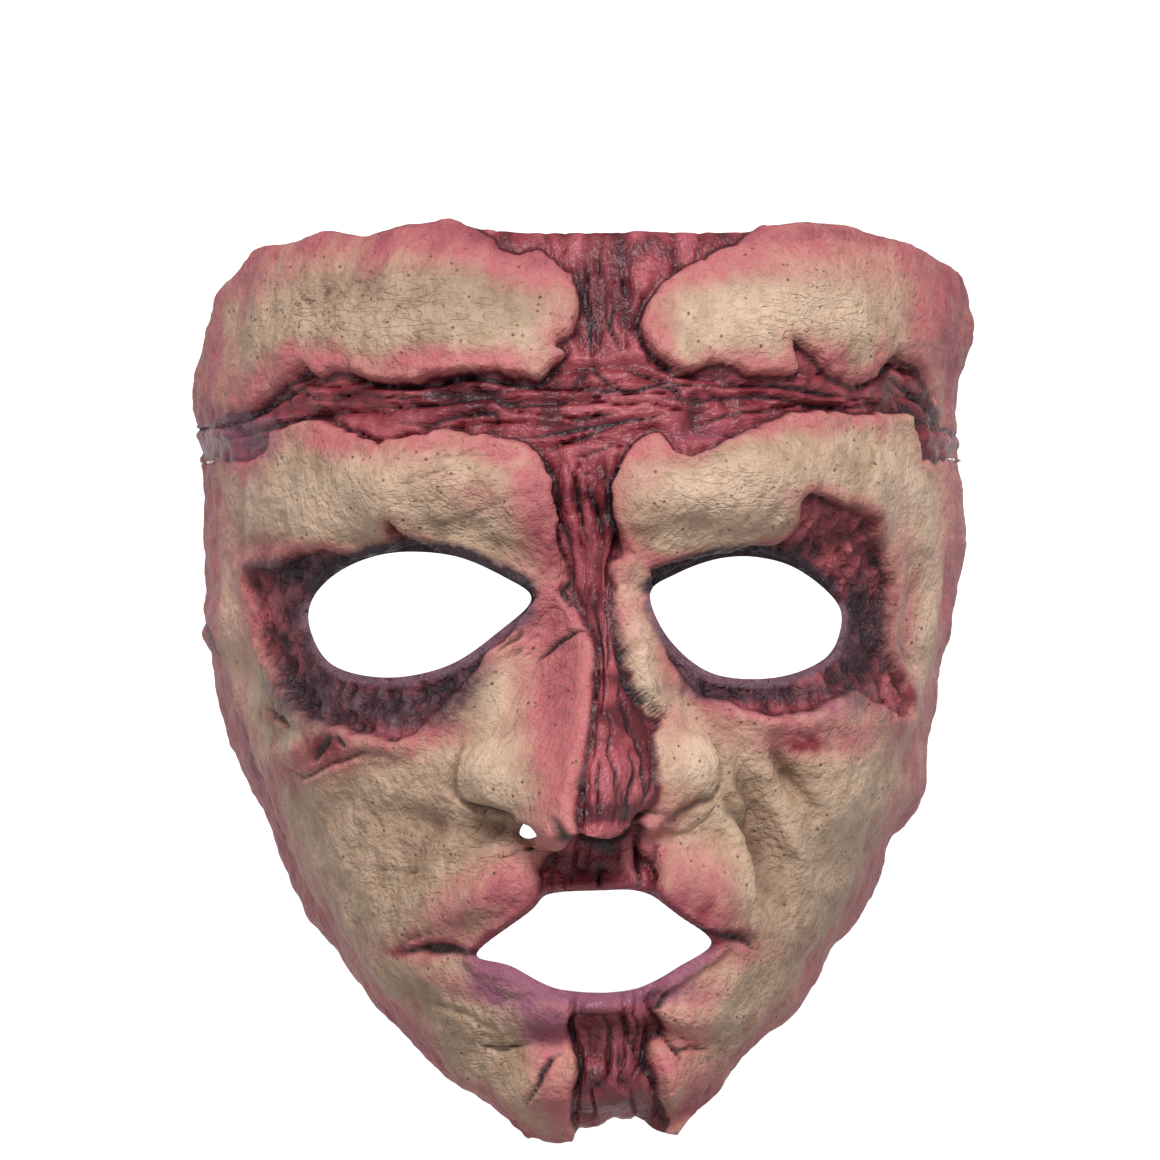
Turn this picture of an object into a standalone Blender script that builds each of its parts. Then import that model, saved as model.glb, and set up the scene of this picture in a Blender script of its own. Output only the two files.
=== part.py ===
"""A front mask of torn latex skin, with its head strap and the two staples that hold the strap.

The mask faces -Y and stands upright. X is across the face, Z is up. The origin is at the bridge of
the nose on the eye line, where the mask sits on a face. Lengths are in metres.
"""

import bmesh
import bpy
import numpy as np

MM = 0.001

# Sizes of the mask
MASK_WIDTH = 168.0 * MM
MASK_HEIGHT = 190.0 * MM
WRAP_DEPTH = 88.0 * MM
LATEX_WALL = 2.0 * MM
NOSE_REACH = 23.0 * MM
FORM_HEIGHT = 10.0 * MM
WOUND_DEPTH = 2.2 * MM
PAD_EDGE = 4.5 * MM
PAD_CORNER = 8.0 * MM

# Sizes of the strap and its staples
HEAD_LENGTH = 192.0 * MM
STRAP_WIDTH = 20.0 * MM
STRAP_THICKNESS = 1.2 * MM
STRAP_TAIL = 7.0 * MM
STAPLE_CROWN = 13.0 * MM
STAPLE_WIRE = 0.6 * MM
STAPLE_CLINCH = 3.0 * MM
STAPLE_FROM_RIM = 7.0 * MM
STRAP_OVERLAP = STAPLE_FROM_RIM + STAPLE_CROWN + STRAP_TAIL
GAP = 0.3 * MM
CLINCH_GAP = 1.5 * GAP

# Places as shares of the mask's height and half width
HALF_WIDTH = MASK_WIDTH / 2.0
EYE_LINE = 0.589
STRAP_UP = 0.748

# Shape of a level section: how flat its front is, and how soon its worn rim takes over
FLATNESS = 1.15
RIM_HOLD = 5.0
# Heights between which the uneven top edge and chin edge fade into level sections
TOP_START = 0.70
CHIN_END = 0.08
# Shape of the nose: its fall for each step forward, the width of its ridge, and its wings' crease
NOSE_DROOP = 0.30
RIDGE_WIDTH = 0.45
RIDGE_SHARE = 0.50
WING_CREASE = 1.2
# The net of the skin: its cells, how much closer its columns are at the centre, a step along it,
# and where the wound fades out towards the rims, so that the strap has a smooth seat
COLUMNS = 54
ROWS = 46
CENTRE_SHARE = 0.62
NUDGE = 0.002
STRAP_SEAT = 0.87
SEAT_FADE = 0.08
# The strap's net: steps under each flank, steps round half the head, and how full its curve is
FLANK_STEPS = 8
LOOP_STEPS = 19
LOOP_FULLNESS = 1.6
STRAP_LINES = 3
HOLE_SIDES = 8

# Level sections from the chin up. Widths are shares of the half width, front and back are shares of
# the wrap depth behind the bridge, and wrap is how far round the section turns, in degrees.
SECTIONS = {
    "columns": ("up", "left", "right", "front", "back", "wrap"),
    "rows": (
        (0.00, 0.13, 0.22, 0.07, 0.10, 34),
        (0.07, 0.33, 0.36, -0.01, 0.23, 56),
        (0.17, 0.56, 0.59, -0.035, 0.52, 70),
        (0.25, 0.69, 0.71, -0.045, 0.75, 77),
        (0.32, 0.78, 0.80, -0.045, 0.865, 80),
        (0.41, 0.865, 0.875, -0.035, 0.955, 81),
        (0.50, 0.92, 0.915, -0.015, 0.99, 81),
        (0.60, 0.955, 0.95, 0.00, 1.00, 81),
        (0.70, 0.965, 0.97, 0.00, 0.985, 81),
        (0.80, 0.985, 0.972, 0.02, 0.95, 81),
        (0.90, 0.96, 0.985, 0.09, 0.885, 80),
        (1.00, 0.93, 0.96, 0.215, 0.785, 78),
    ),
}

# The worn side rims, with their nicks and steps.
RIM = {
    "columns": ("up", "left", "right"),
    "rows": (
        (0.00, 0.12, 0.21),
        (0.04, 0.195, 0.28),
        (0.075, 0.34, 0.36),
        (0.11, 0.425, 0.445),
        (0.14, 0.495, 0.53),
        (0.175, 0.57, 0.60),
        (0.20, 0.615, 0.625),
        (0.23, 0.68, 0.685),
        (0.27, 0.722, 0.75),
        (0.32, 0.782, 0.79),
        (0.37, 0.835, 0.87),
        (0.43, 0.88, 0.88),
        (0.48, 0.912, 0.905),
        (0.52, 0.93, 0.923),
        (0.545, 0.972, 0.937),
        (0.60, 0.965, 0.946),
        (0.645, 0.963, 0.98),
        (0.70, 0.965, 0.977),
        (0.765, 0.979, 0.965),
        (0.83, 0.997, 0.967),
        (0.865, 0.975, 0.986),
        (0.90, 0.945, 0.989),
        (0.94, 0.915, 0.965),
        (1.00, 0.87, 0.93),
    ),
}

TOP_EDGE = {
    "columns": ("across", "up"),
    "rows": (
        (-0.95, 0.915),
        (-0.915, 0.940),
        (-0.87, 0.966),
        (-0.73, 0.979),
        (-0.64, 0.990),
        (-0.54, 0.984),
        (-0.425, 0.997),
        (-0.33, 1.002),
        (-0.21, 0.986),
        (-0.08, 0.975),
        (0.34, 0.975),
        (0.41, 0.987),
        (0.50, 0.996),
        (0.67, 0.994),
        (0.75, 0.986),
        (0.87, 0.975),
        (0.945, 0.957),
        (0.98, 0.945),
    ),
}

CHIN_EDGE = {
    "columns": ("across", "up"),
    "rows": (
        (-0.20, 0.012),
        (-0.13, 0.012),
        (-0.04, 0.006),
        (-0.01, 0.022),
        (0.045, 0.029),
        (0.13, 0.038),
        (0.18, 0.018),
        (0.25, 0.017),
    ),
}

# The upright channel of the cross wound, between the skin pads.
WOUND_COLUMN = {
    "columns": ("up", "left", "right"),
    "rows": (
        (0.00, -0.032, 0.215),
        (0.107, -0.022, 0.17),
        (0.15, -0.022, 0.183),
        (0.28, -0.09, 0.19),
        (0.313, -0.09, 0.18),
        (0.328, 0.00, 0.15),
        (0.358, -0.03, 0.20),
        (0.413, 0.00, 0.19),
        (0.461, 0.002, 0.183),
        (0.505, 0.015, 0.141),
        (0.543, 0.022, 0.121),
        (0.602, -0.035, 0.089),
        (0.667, -0.052, 0.081),
        (0.735, -0.079, 0.084),
        (0.765, -0.126, 0.126),
        (0.835, -0.089, 0.25),
        (0.868, -0.022, 0.173),
        (0.917, 0.002, 0.158),
        (0.944, -0.022, 0.19),
        (0.976, -0.138, 0.331),
        (1.00, -0.20, 0.36),
    ),
}

# The level channel of the cross wound, from temple to temple.
WOUND_BAND = {
    "columns": ("across", "top", "bottom"),
    "rows": (
        (-1.00, 0.80, 0.74),
        (-0.77, 0.815, 0.765),
        (-0.68, 0.845, 0.78),
        (-0.50, 0.827, 0.764),
        (-0.32, 0.837, 0.776),
        (-0.10, 0.832, 0.756),
        (0.17, 0.868, 0.776),
        (0.34, 0.843, 0.769),
        (0.53, 0.835, 0.798),
        (0.71, 0.830, 0.796),
        (0.83, 0.845, 0.765),
        (0.90, 0.785, 0.722),
        (1.00, 0.760, 0.700),
    ),
}

# Soft bulges and hollows of the face. Out is a share of the form height.
FORMS = {
    "columns": ("across", "up", "wide", "high", "turn", "out"),
    "rows": (
        (-0.39, 0.716, 0.25, 0.040, -6, 0.55),
        (-0.12, 0.675, 0.08, 0.050, 20, 0.35),
        (0.36, 0.716, 0.25, 0.040, 8, 0.50),
        (0.16, 0.690, 0.08, 0.050, -20, 0.35),
        (-0.41, 0.592, 0.25, 0.070, 0, -0.80),
        (0.42, 0.597, 0.25, 0.070, 0, -0.80),
        (-0.50, 0.906, 0.33, 0.060, 0, 0.25),
        (0.54, 0.906, 0.30, 0.060, 0, 0.25),
        (-0.62, 0.440, 0.20, 0.070, 0, 0.35),
        (0.60, 0.450, 0.20, 0.070, 0, 0.45),
        (0.01, 0.235, 0.36, 0.100, 0, 0.60),
        (0.45, 0.345, 0.070, 0.070, 20, -0.35),
        (-0.42, 0.345, 0.070, 0.060, -20, -0.20),
        (-0.15, 0.287, 0.13, 0.026, 25, 0.25),
        (0.23, 0.285, 0.12, 0.026, -30, 0.25),
        (0.02, 0.148, 0.20, 0.018, 0, 0.30),
        (0.05, 0.118, 0.22, 0.016, 0, -0.25),
        (0.05, 0.074, 0.20, 0.045, 0, 0.50),
    ),
}

# Level sections of the nose. Out is a share of the nose's reach.
NOSE = {
    "columns": ("up", "centre", "half", "out"),
    "rows": (
        (0.30, 0.00, 0.20, 0.00),
        (0.325, 0.03, 0.20, 0.05),
        (0.340, 0.03, 0.22, 0.30),
        (0.357, 0.03, 0.25, 0.75),
        (0.375, 0.02, 0.28, 1.00),
        (0.395, 0.02, 0.30, 1.00),
        (0.42, 0.03, 0.29, 0.95),
        (0.46, 0.04, 0.23, 0.82),
        (0.515, 0.05, 0.17, 0.62),
        (0.57, 0.06, 0.13, 0.42),
        (0.62, 0.055, 0.10, 0.20),
        (0.66, 0.05, 0.08, 0.06),
        (0.70, 0.05, 0.07, 0.00),
    ),
}

# Heights at which the net's rows lie closer together.
CLOSE_ROWS = {
    "columns": ("up", "spread", "extra"),
    "rows": (
        (0.35, 0.07, 1.3),
        (0.60, 0.10, 0.5),
    ),
}

# Rims of the holes, as points across and up round each one.
LEFT_EYE = (
    (-0.673, 0.559), (-0.614, 0.518), (-0.474, 0.505), (-0.323, 0.519), (-0.200, 0.556),
    (-0.123, 0.590), (-0.187, 0.613), (-0.310, 0.636), (-0.459, 0.640), (-0.580, 0.624),
    (-0.660, 0.594),
)
RIGHT_EYE = (
    (0.165, 0.595), (0.212, 0.547), (0.318, 0.510), (0.471, 0.505), (0.597, 0.525),
    (0.640, 0.560), (0.624, 0.589), (0.530, 0.622), (0.429, 0.635), (0.331, 0.633),
    (0.230, 0.617),
)
MOUTH = (
    (-0.254, 0.212), (-0.126, 0.258), (-0.079, 0.276), (0.039, 0.280), (0.148, 0.278),
    (0.234, 0.253), (0.313, 0.223), (0.234, 0.191), (0.118, 0.161), (-0.049, 0.161),
    (-0.170, 0.189),
)
NOSTRIL = ((-0.150, 0.340), (-0.130, 0.335), (-0.108, 0.339), (-0.122, 0.349), (-0.140, 0.351))
POINTS_PER_SPAN = 3

# Reach of each hole's cut along Y, as shares of the wrap depth.
EYE_CUT = (-0.35, 0.55)
MOUTH_CUT = (-0.50, 0.35)
NOSTRIL_CUT = (-0.45, -0.02)


def column(table, name):
    """One named column of a table as an array."""
    place = table["columns"].index(name)
    return np.array([row[place] for row in table["rows"]], dtype=float)


def read(table, name, at):
    """A smooth curve through a column: cubic spans whose slope at a row follows its neighbours."""
    knots = column(table, table["columns"][0])
    values = column(table, name)
    slopes = np.gradient(values, knots)
    place = np.clip(at, knots[0], knots[-1])
    span = np.clip(np.searchsorted(knots, place) - 1, 0, len(knots) - 2)
    length = knots[span + 1] - knots[span]
    t = (place - knots[span]) / length
    start = (1 + 2 * t) * (1 - t) ** 2 * values[span] + t * (1 - t) ** 2 * length * slopes[span]
    end = t * t * (3 - 2 * t) * values[span + 1] + t * t * (t - 1) * length * slopes[span + 1]
    return start + end


def ease(value):
    """A smooth step from 0 to 1."""
    t = np.clip(value, 0.0, 1.0)
    return t * t * (3.0 - 2.0 * t)


def smooth_least(first, second, radius):
    """The lesser of two distances, with the corner between them rounded."""
    near = np.clip(1.0 - np.abs(first - second) / radius, 0.0, 1.0)
    return np.minimum(first, second) - near * near * radius / 4.0


def base_point(across_net, up_net):
    """The face without features: a level section is part of a flattened ellipse from rim to rim."""
    left = across_net < 0.0
    side = np.where(left, -1.0, 1.0)
    wrap = np.radians(read(SECTIONS, "wrap", up_net))
    share = np.abs(across_net)
    turn = wrap * (CENTRE_SHARE * share + (1.0 - CENTRE_SHARE) * share**3)
    reach = np.sin(turn) / np.sin(wrap)
    half = np.where(left, read(SECTIONS, "left", up_net), read(SECTIONS, "right", up_net))
    across = side * half * reach
    top_weight = ease((up_net - TOP_START) / (1.0 - TOP_START))
    chin_weight = 1.0 - ease(up_net / CHIN_END)
    up = up_net + (read(TOP_EDGE, "up", across) - 1.0) * top_weight
    up = up + read(CHIN_EDGE, "up", across) * chin_weight
    rim = np.where(left, read(RIM, "left", up), read(RIM, "right", up))
    x = side * HALF_WIDTH * (half * reach + (rim - half) * reach**RIM_HOLD)
    fall = ((1.0 - np.cos(turn)) / (1.0 - np.cos(wrap))) ** FLATNESS
    front = read(SECTIONS, "front", up_net)
    back = read(SECTIONS, "back", up_net)
    y = WRAP_DEPTH * (front + (back - front) * fall)
    z = MASK_HEIGHT * (up - EYE_LINE)
    return np.stack([x, y, z], axis=-1)


def base_normal(across_net, up_net):
    """Outward direction of the plain face, from two short steps along the net."""
    across_step = base_point(across_net + NUDGE, up_net) - base_point(across_net - NUDGE, up_net)
    above = np.minimum(up_net + NUDGE, 1.0)
    below = np.maximum(up_net - NUDGE, 0.0)
    up_step = base_point(across_net, above) - base_point(across_net, below)
    normal = np.cross(across_step, up_step)
    return normal / np.linalg.norm(normal, axis=-1, keepdims=True)


def form_height(across, up):
    """Sum of the soft bulges, each a bell over a turned ellipse."""
    total = np.zeros_like(across)
    for centre_across, centre_up, wide, high, turn, out in FORMS["rows"]:
        along = (across - centre_across) * HALF_WIDTH
        rise = (up - centre_up) * MASK_HEIGHT
        cosine = np.cos(np.radians(turn))
        sine = np.sin(np.radians(turn))
        first = (along * cosine + rise * sine) / (wide * HALF_WIDTH)
        second = (rise * cosine - along * sine) / (high * MASK_HEIGHT)
        total = total + out * np.exp(-(first**2) - second**2)
    return total


def nose_height(across, up):
    """The nose's own sections: a narrow ridge on a broad base that ends in the wings' creases."""
    half = read(NOSE, "half", up)
    offset = (across - read(NOSE, "centre", up)) / half
    ridge = np.exp(-((offset / RIDGE_WIDTH) ** 2))
    base = np.clip(1.0 - offset**2, 0.0, 1.0) ** WING_CREASE
    return read(NOSE, "out", up) * (RIDGE_SHARE * ridge + (1.0 - RIDGE_SHARE) * base)


def wound_depth(across, up):
    """1 in the cross wound and 0 on the four skin pads, with an eased edge between."""
    off_column = np.maximum(
        read(WOUND_COLUMN, "left", up) - across, across - read(WOUND_COLUMN, "right", up)
    )
    off_band = np.maximum(
        up - read(WOUND_BAND, "top", across), read(WOUND_BAND, "bottom", across) - up
    )
    distance = smooth_least(off_column * HALF_WIDTH, off_band * MASK_HEIGHT, PAD_CORNER)
    return 1.0 - ease(distance / PAD_EDGE)


def shares(point):
    """A point's place across and up the mask, as shares."""
    return point[..., 0] / HALF_WIDTH, point[..., 2] / MASK_HEIGHT + EYE_LINE


def skin_point(across_net, up_net):
    """The mask's outer skin: plain face, soft bulges, nose, then the wound, shallow at the rims."""
    normal = base_normal(across_net, up_net)
    point = base_point(across_net, up_net)
    across, up = shares(point)
    nose = nose_height(across, up) * NOSE_REACH
    forward = np.array([0.0, -1.0, -NOSE_DROOP])
    point = point + normal * (form_height(across, up) * FORM_HEIGHT)[..., None]
    point = point + nose[..., None] * forward
    across, up = shares(point)
    off_rim = ease((STRAP_SEAT - np.abs(across_net)) / SEAT_FADE)
    return point - normal * (wound_depth(across, up) * off_rim * WOUND_DEPTH)[..., None]


def net_rows():
    """Heights of the net's rows, closer together at the nose's underside and at the eyes."""
    fine = np.linspace(0.0, 1.0, 400)
    density = np.ones_like(fine)
    for up, spread, extra in CLOSE_ROWS["rows"]:
        density = density + extra * np.exp(-(((fine - up) / spread) ** 2))
    total = np.concatenate([[0.0], np.cumsum((density[1:] + density[:-1]) / 2.0)])
    return np.interp(np.linspace(0.0, total[-1], ROWS + 1), total, fine)


def new_object(name, mesh, collection):
    """An object in a collection, with no scale or turn."""
    item = bpy.data.objects.new(name, mesh)
    collection.objects.link(item)
    return item


def net_mesh(name, points):
    """A net of points, rows by columns, as one open surface."""
    rows, columns = points.shape[:2]
    corner = np.arange((rows - 1) * columns).reshape(rows - 1, columns)[:, :-1]
    faces = np.stack([corner, corner + 1, corner + columns + 1, corner + columns], axis=-1)
    mesh = bpy.data.meshes.new(name)
    mesh.from_pydata(points.reshape(-1, 3).tolist(), [], faces.reshape(-1, 4).tolist())
    mesh.update()
    return mesh


def closed_curve(points, per_span):
    """A closed curve through a few points, each span a cubic that follows its neighbours."""
    knots = np.array(points, dtype=float)
    before = np.roll(knots, 1, axis=0)
    after = np.roll(knots, -1, axis=0)
    beyond = np.roll(knots, -2, axis=0)
    curve = []
    for step in range(per_span):
        t = step / per_span
        curve.append(
            knots
            + 0.5 * t * (after - before)
            + t * t * (before - 2.5 * knots + 2.0 * after - 0.5 * beyond)
            + t**3 * (1.5 * (knots - after) + 0.5 * (beyond - before))
        )
    return np.stack(curve, axis=1).reshape(-1, 2)


def prism_cutter(name, outline, reach, collection):
    """A hole's outline, across and up, carried straight along Y."""
    body = bmesh.new()
    corners = [
        body.verts.new((across * HALF_WIDTH, reach[0] * WRAP_DEPTH, (up - EYE_LINE) * MASK_HEIGHT))
        for across, up in closed_curve(outline, POINTS_PER_SPAN)
    ]
    face = body.faces.new(corners)
    carried = bmesh.ops.extrude_face_region(body, geom=[face])["geom"]
    moved = [part for part in carried if isinstance(part, bmesh.types.BMVert)]
    bmesh.ops.translate(body, verts=moved, vec=(0.0, (reach[1] - reach[0]) * WRAP_DEPTH, 0.0))
    bmesh.ops.recalc_face_normals(body, faces=body.faces)
    mesh = bpy.data.meshes.new(name)
    body.to_mesh(mesh)
    body.free()
    return as_cutter(new_object(name, mesh, collection))


def as_cutter(item):
    """A cutter shows as wire and isn't part of the model."""
    item.hide_render = True
    item.display_type = "WIRE"
    return item


def cut(item, cutter):
    """Take a cutter's shape out of an object."""
    modifier = item.modifiers.new(cutter.name, "BOOLEAN")
    modifier.operation = "DIFFERENCE"
    modifier.solver = "EXACT"
    modifier.object = cutter


def thicken(item, thickness, offset):
    """Give an open surface its wall."""
    modifier = item.modifiers.new("wall", "SOLIDIFY")
    modifier.thickness = thickness
    modifier.offset = offset
    modifier.use_even_offset = False


def make_material(name, colour, roughness, metallic):
    """A plain surface colour."""
    material = bpy.data.materials.new(name)
    material.use_nodes = True
    shader = material.node_tree.nodes["Principled BSDF"]
    shader.inputs["Base Color"].default_value = (*colour, 1.0)
    shader.inputs["Roughness"].default_value = roughness
    shader.inputs["Metallic"].default_value = metallic
    return material


def rim_walk(side, up_net):
    """Net places along a level section, from the side rim inwards, and the distance walked to each."""
    across_net = side * np.linspace(1.0, 0.5, 200)
    points = base_point(across_net, np.full_like(across_net, up_net))
    steps = np.linalg.norm(np.diff(points, axis=0), axis=1)
    return across_net, np.concatenate([[0.0], np.cumsum(steps)])


def flank_point(side, up_net, distance, depth):
    """A point under the plain face, at a distance in from the side rim and a depth below the skin."""
    across_net, walked = rim_walk(side, up_net)
    place = np.interp(distance, walked, across_net)
    level = np.full_like(place, up_net)
    return base_point(place, level) - base_normal(place, level) * depth


def strap_row(up_net):
    """One long edge of the strap: inside a flank, out past its rim and round the head to the other."""
    under = np.linspace(STRAP_OVERLAP, 0.0, FLANK_STEPS + 1)
    depth = LATEX_WALL + GAP
    halves = []
    for side in (-1.0, 1.0):
        flank = flank_point(side, up_net, under, depth)
        leave = flank[-1] - flank[-2]
        leave = leave / np.linalg.norm(leave)
        turn = np.array([-side, 0.0, 0.0])
        behind = np.array([0.0, HEAD_LENGTH, flank[-1][2]])
        t = np.linspace(0.0, 1.0, LOOP_STEPS + 1)[1:, None]
        start_pull = LOOP_FULLNESS * (behind[1] - flank[-1][1])
        end_pull = LOOP_FULLNESS * abs(flank[-1][0])
        loop = (1 + 2 * t) * (1 - t) ** 2 * flank[-1] + t * (1 - t) ** 2 * start_pull * leave
        loop = loop + t * t * (3 - 2 * t) * behind + t * t * (t - 1) * end_pull * turn
        halves.append(np.concatenate([flank, loop]))
    return np.concatenate([halves[0], halves[1][::-1][1:]])


def make_strap(collection):
    """The flat elastic strap, a band of even width round the back of the head."""
    half_share = STRAP_WIDTH / MASK_HEIGHT / 2.0
    levels = np.linspace(STRAP_UP - half_share, STRAP_UP + half_share, STRAP_LINES)
    points = np.stack([strap_row(level) for level in levels])
    strap = new_object("head_strap", net_mesh("head_strap", points), collection)
    thicken(strap, STRAP_THICKNESS, 1.0)
    return strap


def staple_frame(side):
    """Where a staple's two legs leave the skin, and its directions: along the legs and outwards."""
    stations = np.array([STAPLE_FROM_RIM, STAPLE_FROM_RIM + STAPLE_CROWN])
    across_net, walked = rim_walk(side, STRAP_UP)
    places = np.interp(stations, walked, across_net)
    level = np.full_like(places, STRAP_UP)
    legs = skin_point(places, level)
    along = legs[1] - legs[0]
    along = along / np.linalg.norm(along)
    outward = base_normal(places, level).mean(axis=0)
    outward = outward - along * np.dot(outward, along)
    return legs, along, outward / np.linalg.norm(outward)


def make_staple(name, side, collection):
    """Round wire: a straight crown inside the strap, two legs, and tips clinched over the skin."""
    legs, along, outward = staple_frame(side)
    inside = LATEX_WALL + STRAP_THICKNESS + 3.0 * GAP + STAPLE_WIRE / 2.0
    outside = CLINCH_GAP + STAPLE_WIRE / 2.0
    path = [
        legs[0] + outward * outside + along * STAPLE_CLINCH,
        legs[0] + outward * outside,
        legs[0] - outward * inside,
        legs[1] - outward * inside,
        legs[1] + outward * outside,
        legs[1] + outward * outside - along * STAPLE_CLINCH,
    ]
    curve = bpy.data.curves.new(name, "CURVE")
    curve.dimensions = "3D"
    curve.bevel_depth = STAPLE_WIRE / 2.0
    curve.bevel_resolution = 1
    curve.use_fill_caps = True
    spline = curve.splines.new("POLY")
    spline.points.add(len(path) - 1)
    for point, place in zip(spline.points, path):
        point.co = (*place, 1.0)
    return new_object(name, curve, collection)


def leg_cutters(side, collection):
    """A clear round hole for each leg of a staple."""
    legs, _, outward = staple_frame(side)
    inside = LATEX_WALL + STRAP_THICKNESS + 4.0 * GAP
    cutters = []
    for number, leg in enumerate(legs):
        body = bmesh.new()
        bmesh.ops.create_cone(
            body,
            cap_ends=True,
            segments=HOLE_SIDES,
            radius1=STAPLE_WIRE / 2.0 + GAP,
            radius2=STAPLE_WIRE / 2.0 + GAP,
            depth=2.0 * inside,
        )
        name = "cut_leg_%s_%d" % ("left" if side < 0 else "right", number + 1)
        mesh = bpy.data.meshes.new(name)
        body.to_mesh(mesh)
        body.free()
        cutter = as_cutter(new_object(name, mesh, collection))
        turn = np.cross((0.0, 0.0, 1.0), outward)
        level = np.hypot(outward[0], outward[1])
        cutter.rotation_mode = "AXIS_ANGLE"
        cutter.rotation_axis_angle = (np.arctan2(level, outward[2]), *turn / np.linalg.norm(turn))
        cutter.location = leg
        cutters.append(cutter)
    return cutters


def make_shell(collection):
    """The latex face: the outer skin thickened inwards."""
    across = np.linspace(-1.0, 1.0, COLUMNS + 1)
    across_net, up_net = np.meshgrid(across, net_rows())
    mesh = net_mesh("mask_shell", skin_point(across_net, up_net))
    mesh.shade_smooth()
    shell = new_object("mask_shell", mesh, collection)
    thicken(shell, LATEX_WALL, -1.0)
    return shell


def build():
    """Clear the scene, then make every piece and cut its holes."""
    for item in list(bpy.data.objects):
        bpy.data.objects.remove(item)
    model = bpy.data.collections.new("horror_mask")
    cutters = bpy.data.collections.new("cutters")
    for group in (model, cutters):
        bpy.context.scene.collection.children.link(group)

    shell = make_shell(model)
    strap = make_strap(model)
    holes = (
        ("cut_left_eye", LEFT_EYE, EYE_CUT),
        ("cut_right_eye", RIGHT_EYE, EYE_CUT),
        ("cut_mouth", MOUTH, MOUTH_CUT),
        ("cut_nostril", NOSTRIL, NOSTRIL_CUT),
    )
    for name, outline, reach in holes:
        cut(shell, prism_cutter(name, outline, reach, cutters))

    staples = []
    for name, side in (("staple_left", -1.0), ("staple_right", 1.0)):
        staples.append(make_staple(name, side, model))
        for cutter in leg_cutters(side, cutters):
            cut(shell, cutter)
            cut(strap, cutter)

    latex = make_material("painted_latex", (0.52, 0.36, 0.28), 0.55, 0.0)
    elastic = make_material("woven_elastic", (0.015, 0.015, 0.017), 0.85, 0.0)
    steel = make_material("staple_steel", (0.62, 0.62, 0.60), 0.30, 1.0)
    shell.data.materials.append(latex)
    strap.data.materials.append(elastic)
    for staple in staples:
        staple.data.materials.append(steel)


build()
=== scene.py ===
"""Studio scene of a torn latex face mask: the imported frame, dressed with its painted skin.

Lengths are in metres unless a name or comment says millimetres. The mask faces -Y and Z is up.
"""

import bmesh
import bpy
import numpy as np
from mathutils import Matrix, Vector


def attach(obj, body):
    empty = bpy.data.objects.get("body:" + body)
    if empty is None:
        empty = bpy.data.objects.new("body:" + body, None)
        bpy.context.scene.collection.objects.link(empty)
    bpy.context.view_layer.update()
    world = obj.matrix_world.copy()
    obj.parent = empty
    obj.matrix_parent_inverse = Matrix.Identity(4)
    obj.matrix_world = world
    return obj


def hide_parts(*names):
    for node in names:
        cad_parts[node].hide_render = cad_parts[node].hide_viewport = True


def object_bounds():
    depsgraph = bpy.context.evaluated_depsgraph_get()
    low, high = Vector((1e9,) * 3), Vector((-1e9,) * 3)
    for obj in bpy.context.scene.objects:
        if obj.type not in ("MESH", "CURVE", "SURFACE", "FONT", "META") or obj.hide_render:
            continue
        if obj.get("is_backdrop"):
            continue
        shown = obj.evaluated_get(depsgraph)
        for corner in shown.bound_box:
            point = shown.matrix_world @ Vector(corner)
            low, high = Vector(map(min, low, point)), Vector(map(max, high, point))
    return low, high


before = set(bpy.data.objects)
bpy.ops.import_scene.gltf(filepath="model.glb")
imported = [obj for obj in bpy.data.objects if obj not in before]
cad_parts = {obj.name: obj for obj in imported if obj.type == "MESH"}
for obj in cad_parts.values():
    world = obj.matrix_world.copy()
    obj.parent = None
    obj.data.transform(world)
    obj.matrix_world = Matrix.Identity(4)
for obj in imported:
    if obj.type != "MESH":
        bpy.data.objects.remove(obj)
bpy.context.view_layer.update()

# Camera
# A long lens looks level at the bridge of the nose, so the face shows with hardly any perspective.
# The picture is square. Places on the skin are given in its points, from its top left corner.
MM = 0.001
PICTURE = 1160
PICTURE_POINT = 0.203 * MM
POINT_MM = PICTURE_POINT / MM
CAMERA_BACK = 1.4
CAMERA_SIDE = -0.0004
CAMERA_UP = 0.00406
SENSOR_WIDTH = 36.0

long_lens = bpy.data.cameras.new("studio_camera")
long_lens.sensor_width = SENSOR_WIDTH
long_lens.lens = SENSOR_WIDTH * CAMERA_BACK / (PICTURE * PICTURE_POINT)
long_lens.clip_start = 0.05
camera = bpy.data.objects.new("studio_camera", long_lens)
camera.location = (CAMERA_SIDE, -CAMERA_BACK, CAMERA_UP)
camera.rotation_euler = (np.pi / 2.0, 0.0, 0.0)
bpy.context.scene.collection.objects.link(camera)
bpy.context.scene.camera = camera


def on_picture(point):
    """A point's place in the picture: its offset from the camera's axis over the width that a
    picture point covers at its distance."""
    cover = PICTURE_POINT * (1.0 + point[..., 1] / CAMERA_BACK)
    across = PICTURE / 2.0 + (point[..., 0] - CAMERA_SIDE) / cover
    down = PICTURE / 2.0 - (point[..., 2] - CAMERA_UP) / cover
    return np.stack([across, down], axis=-1)


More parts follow.
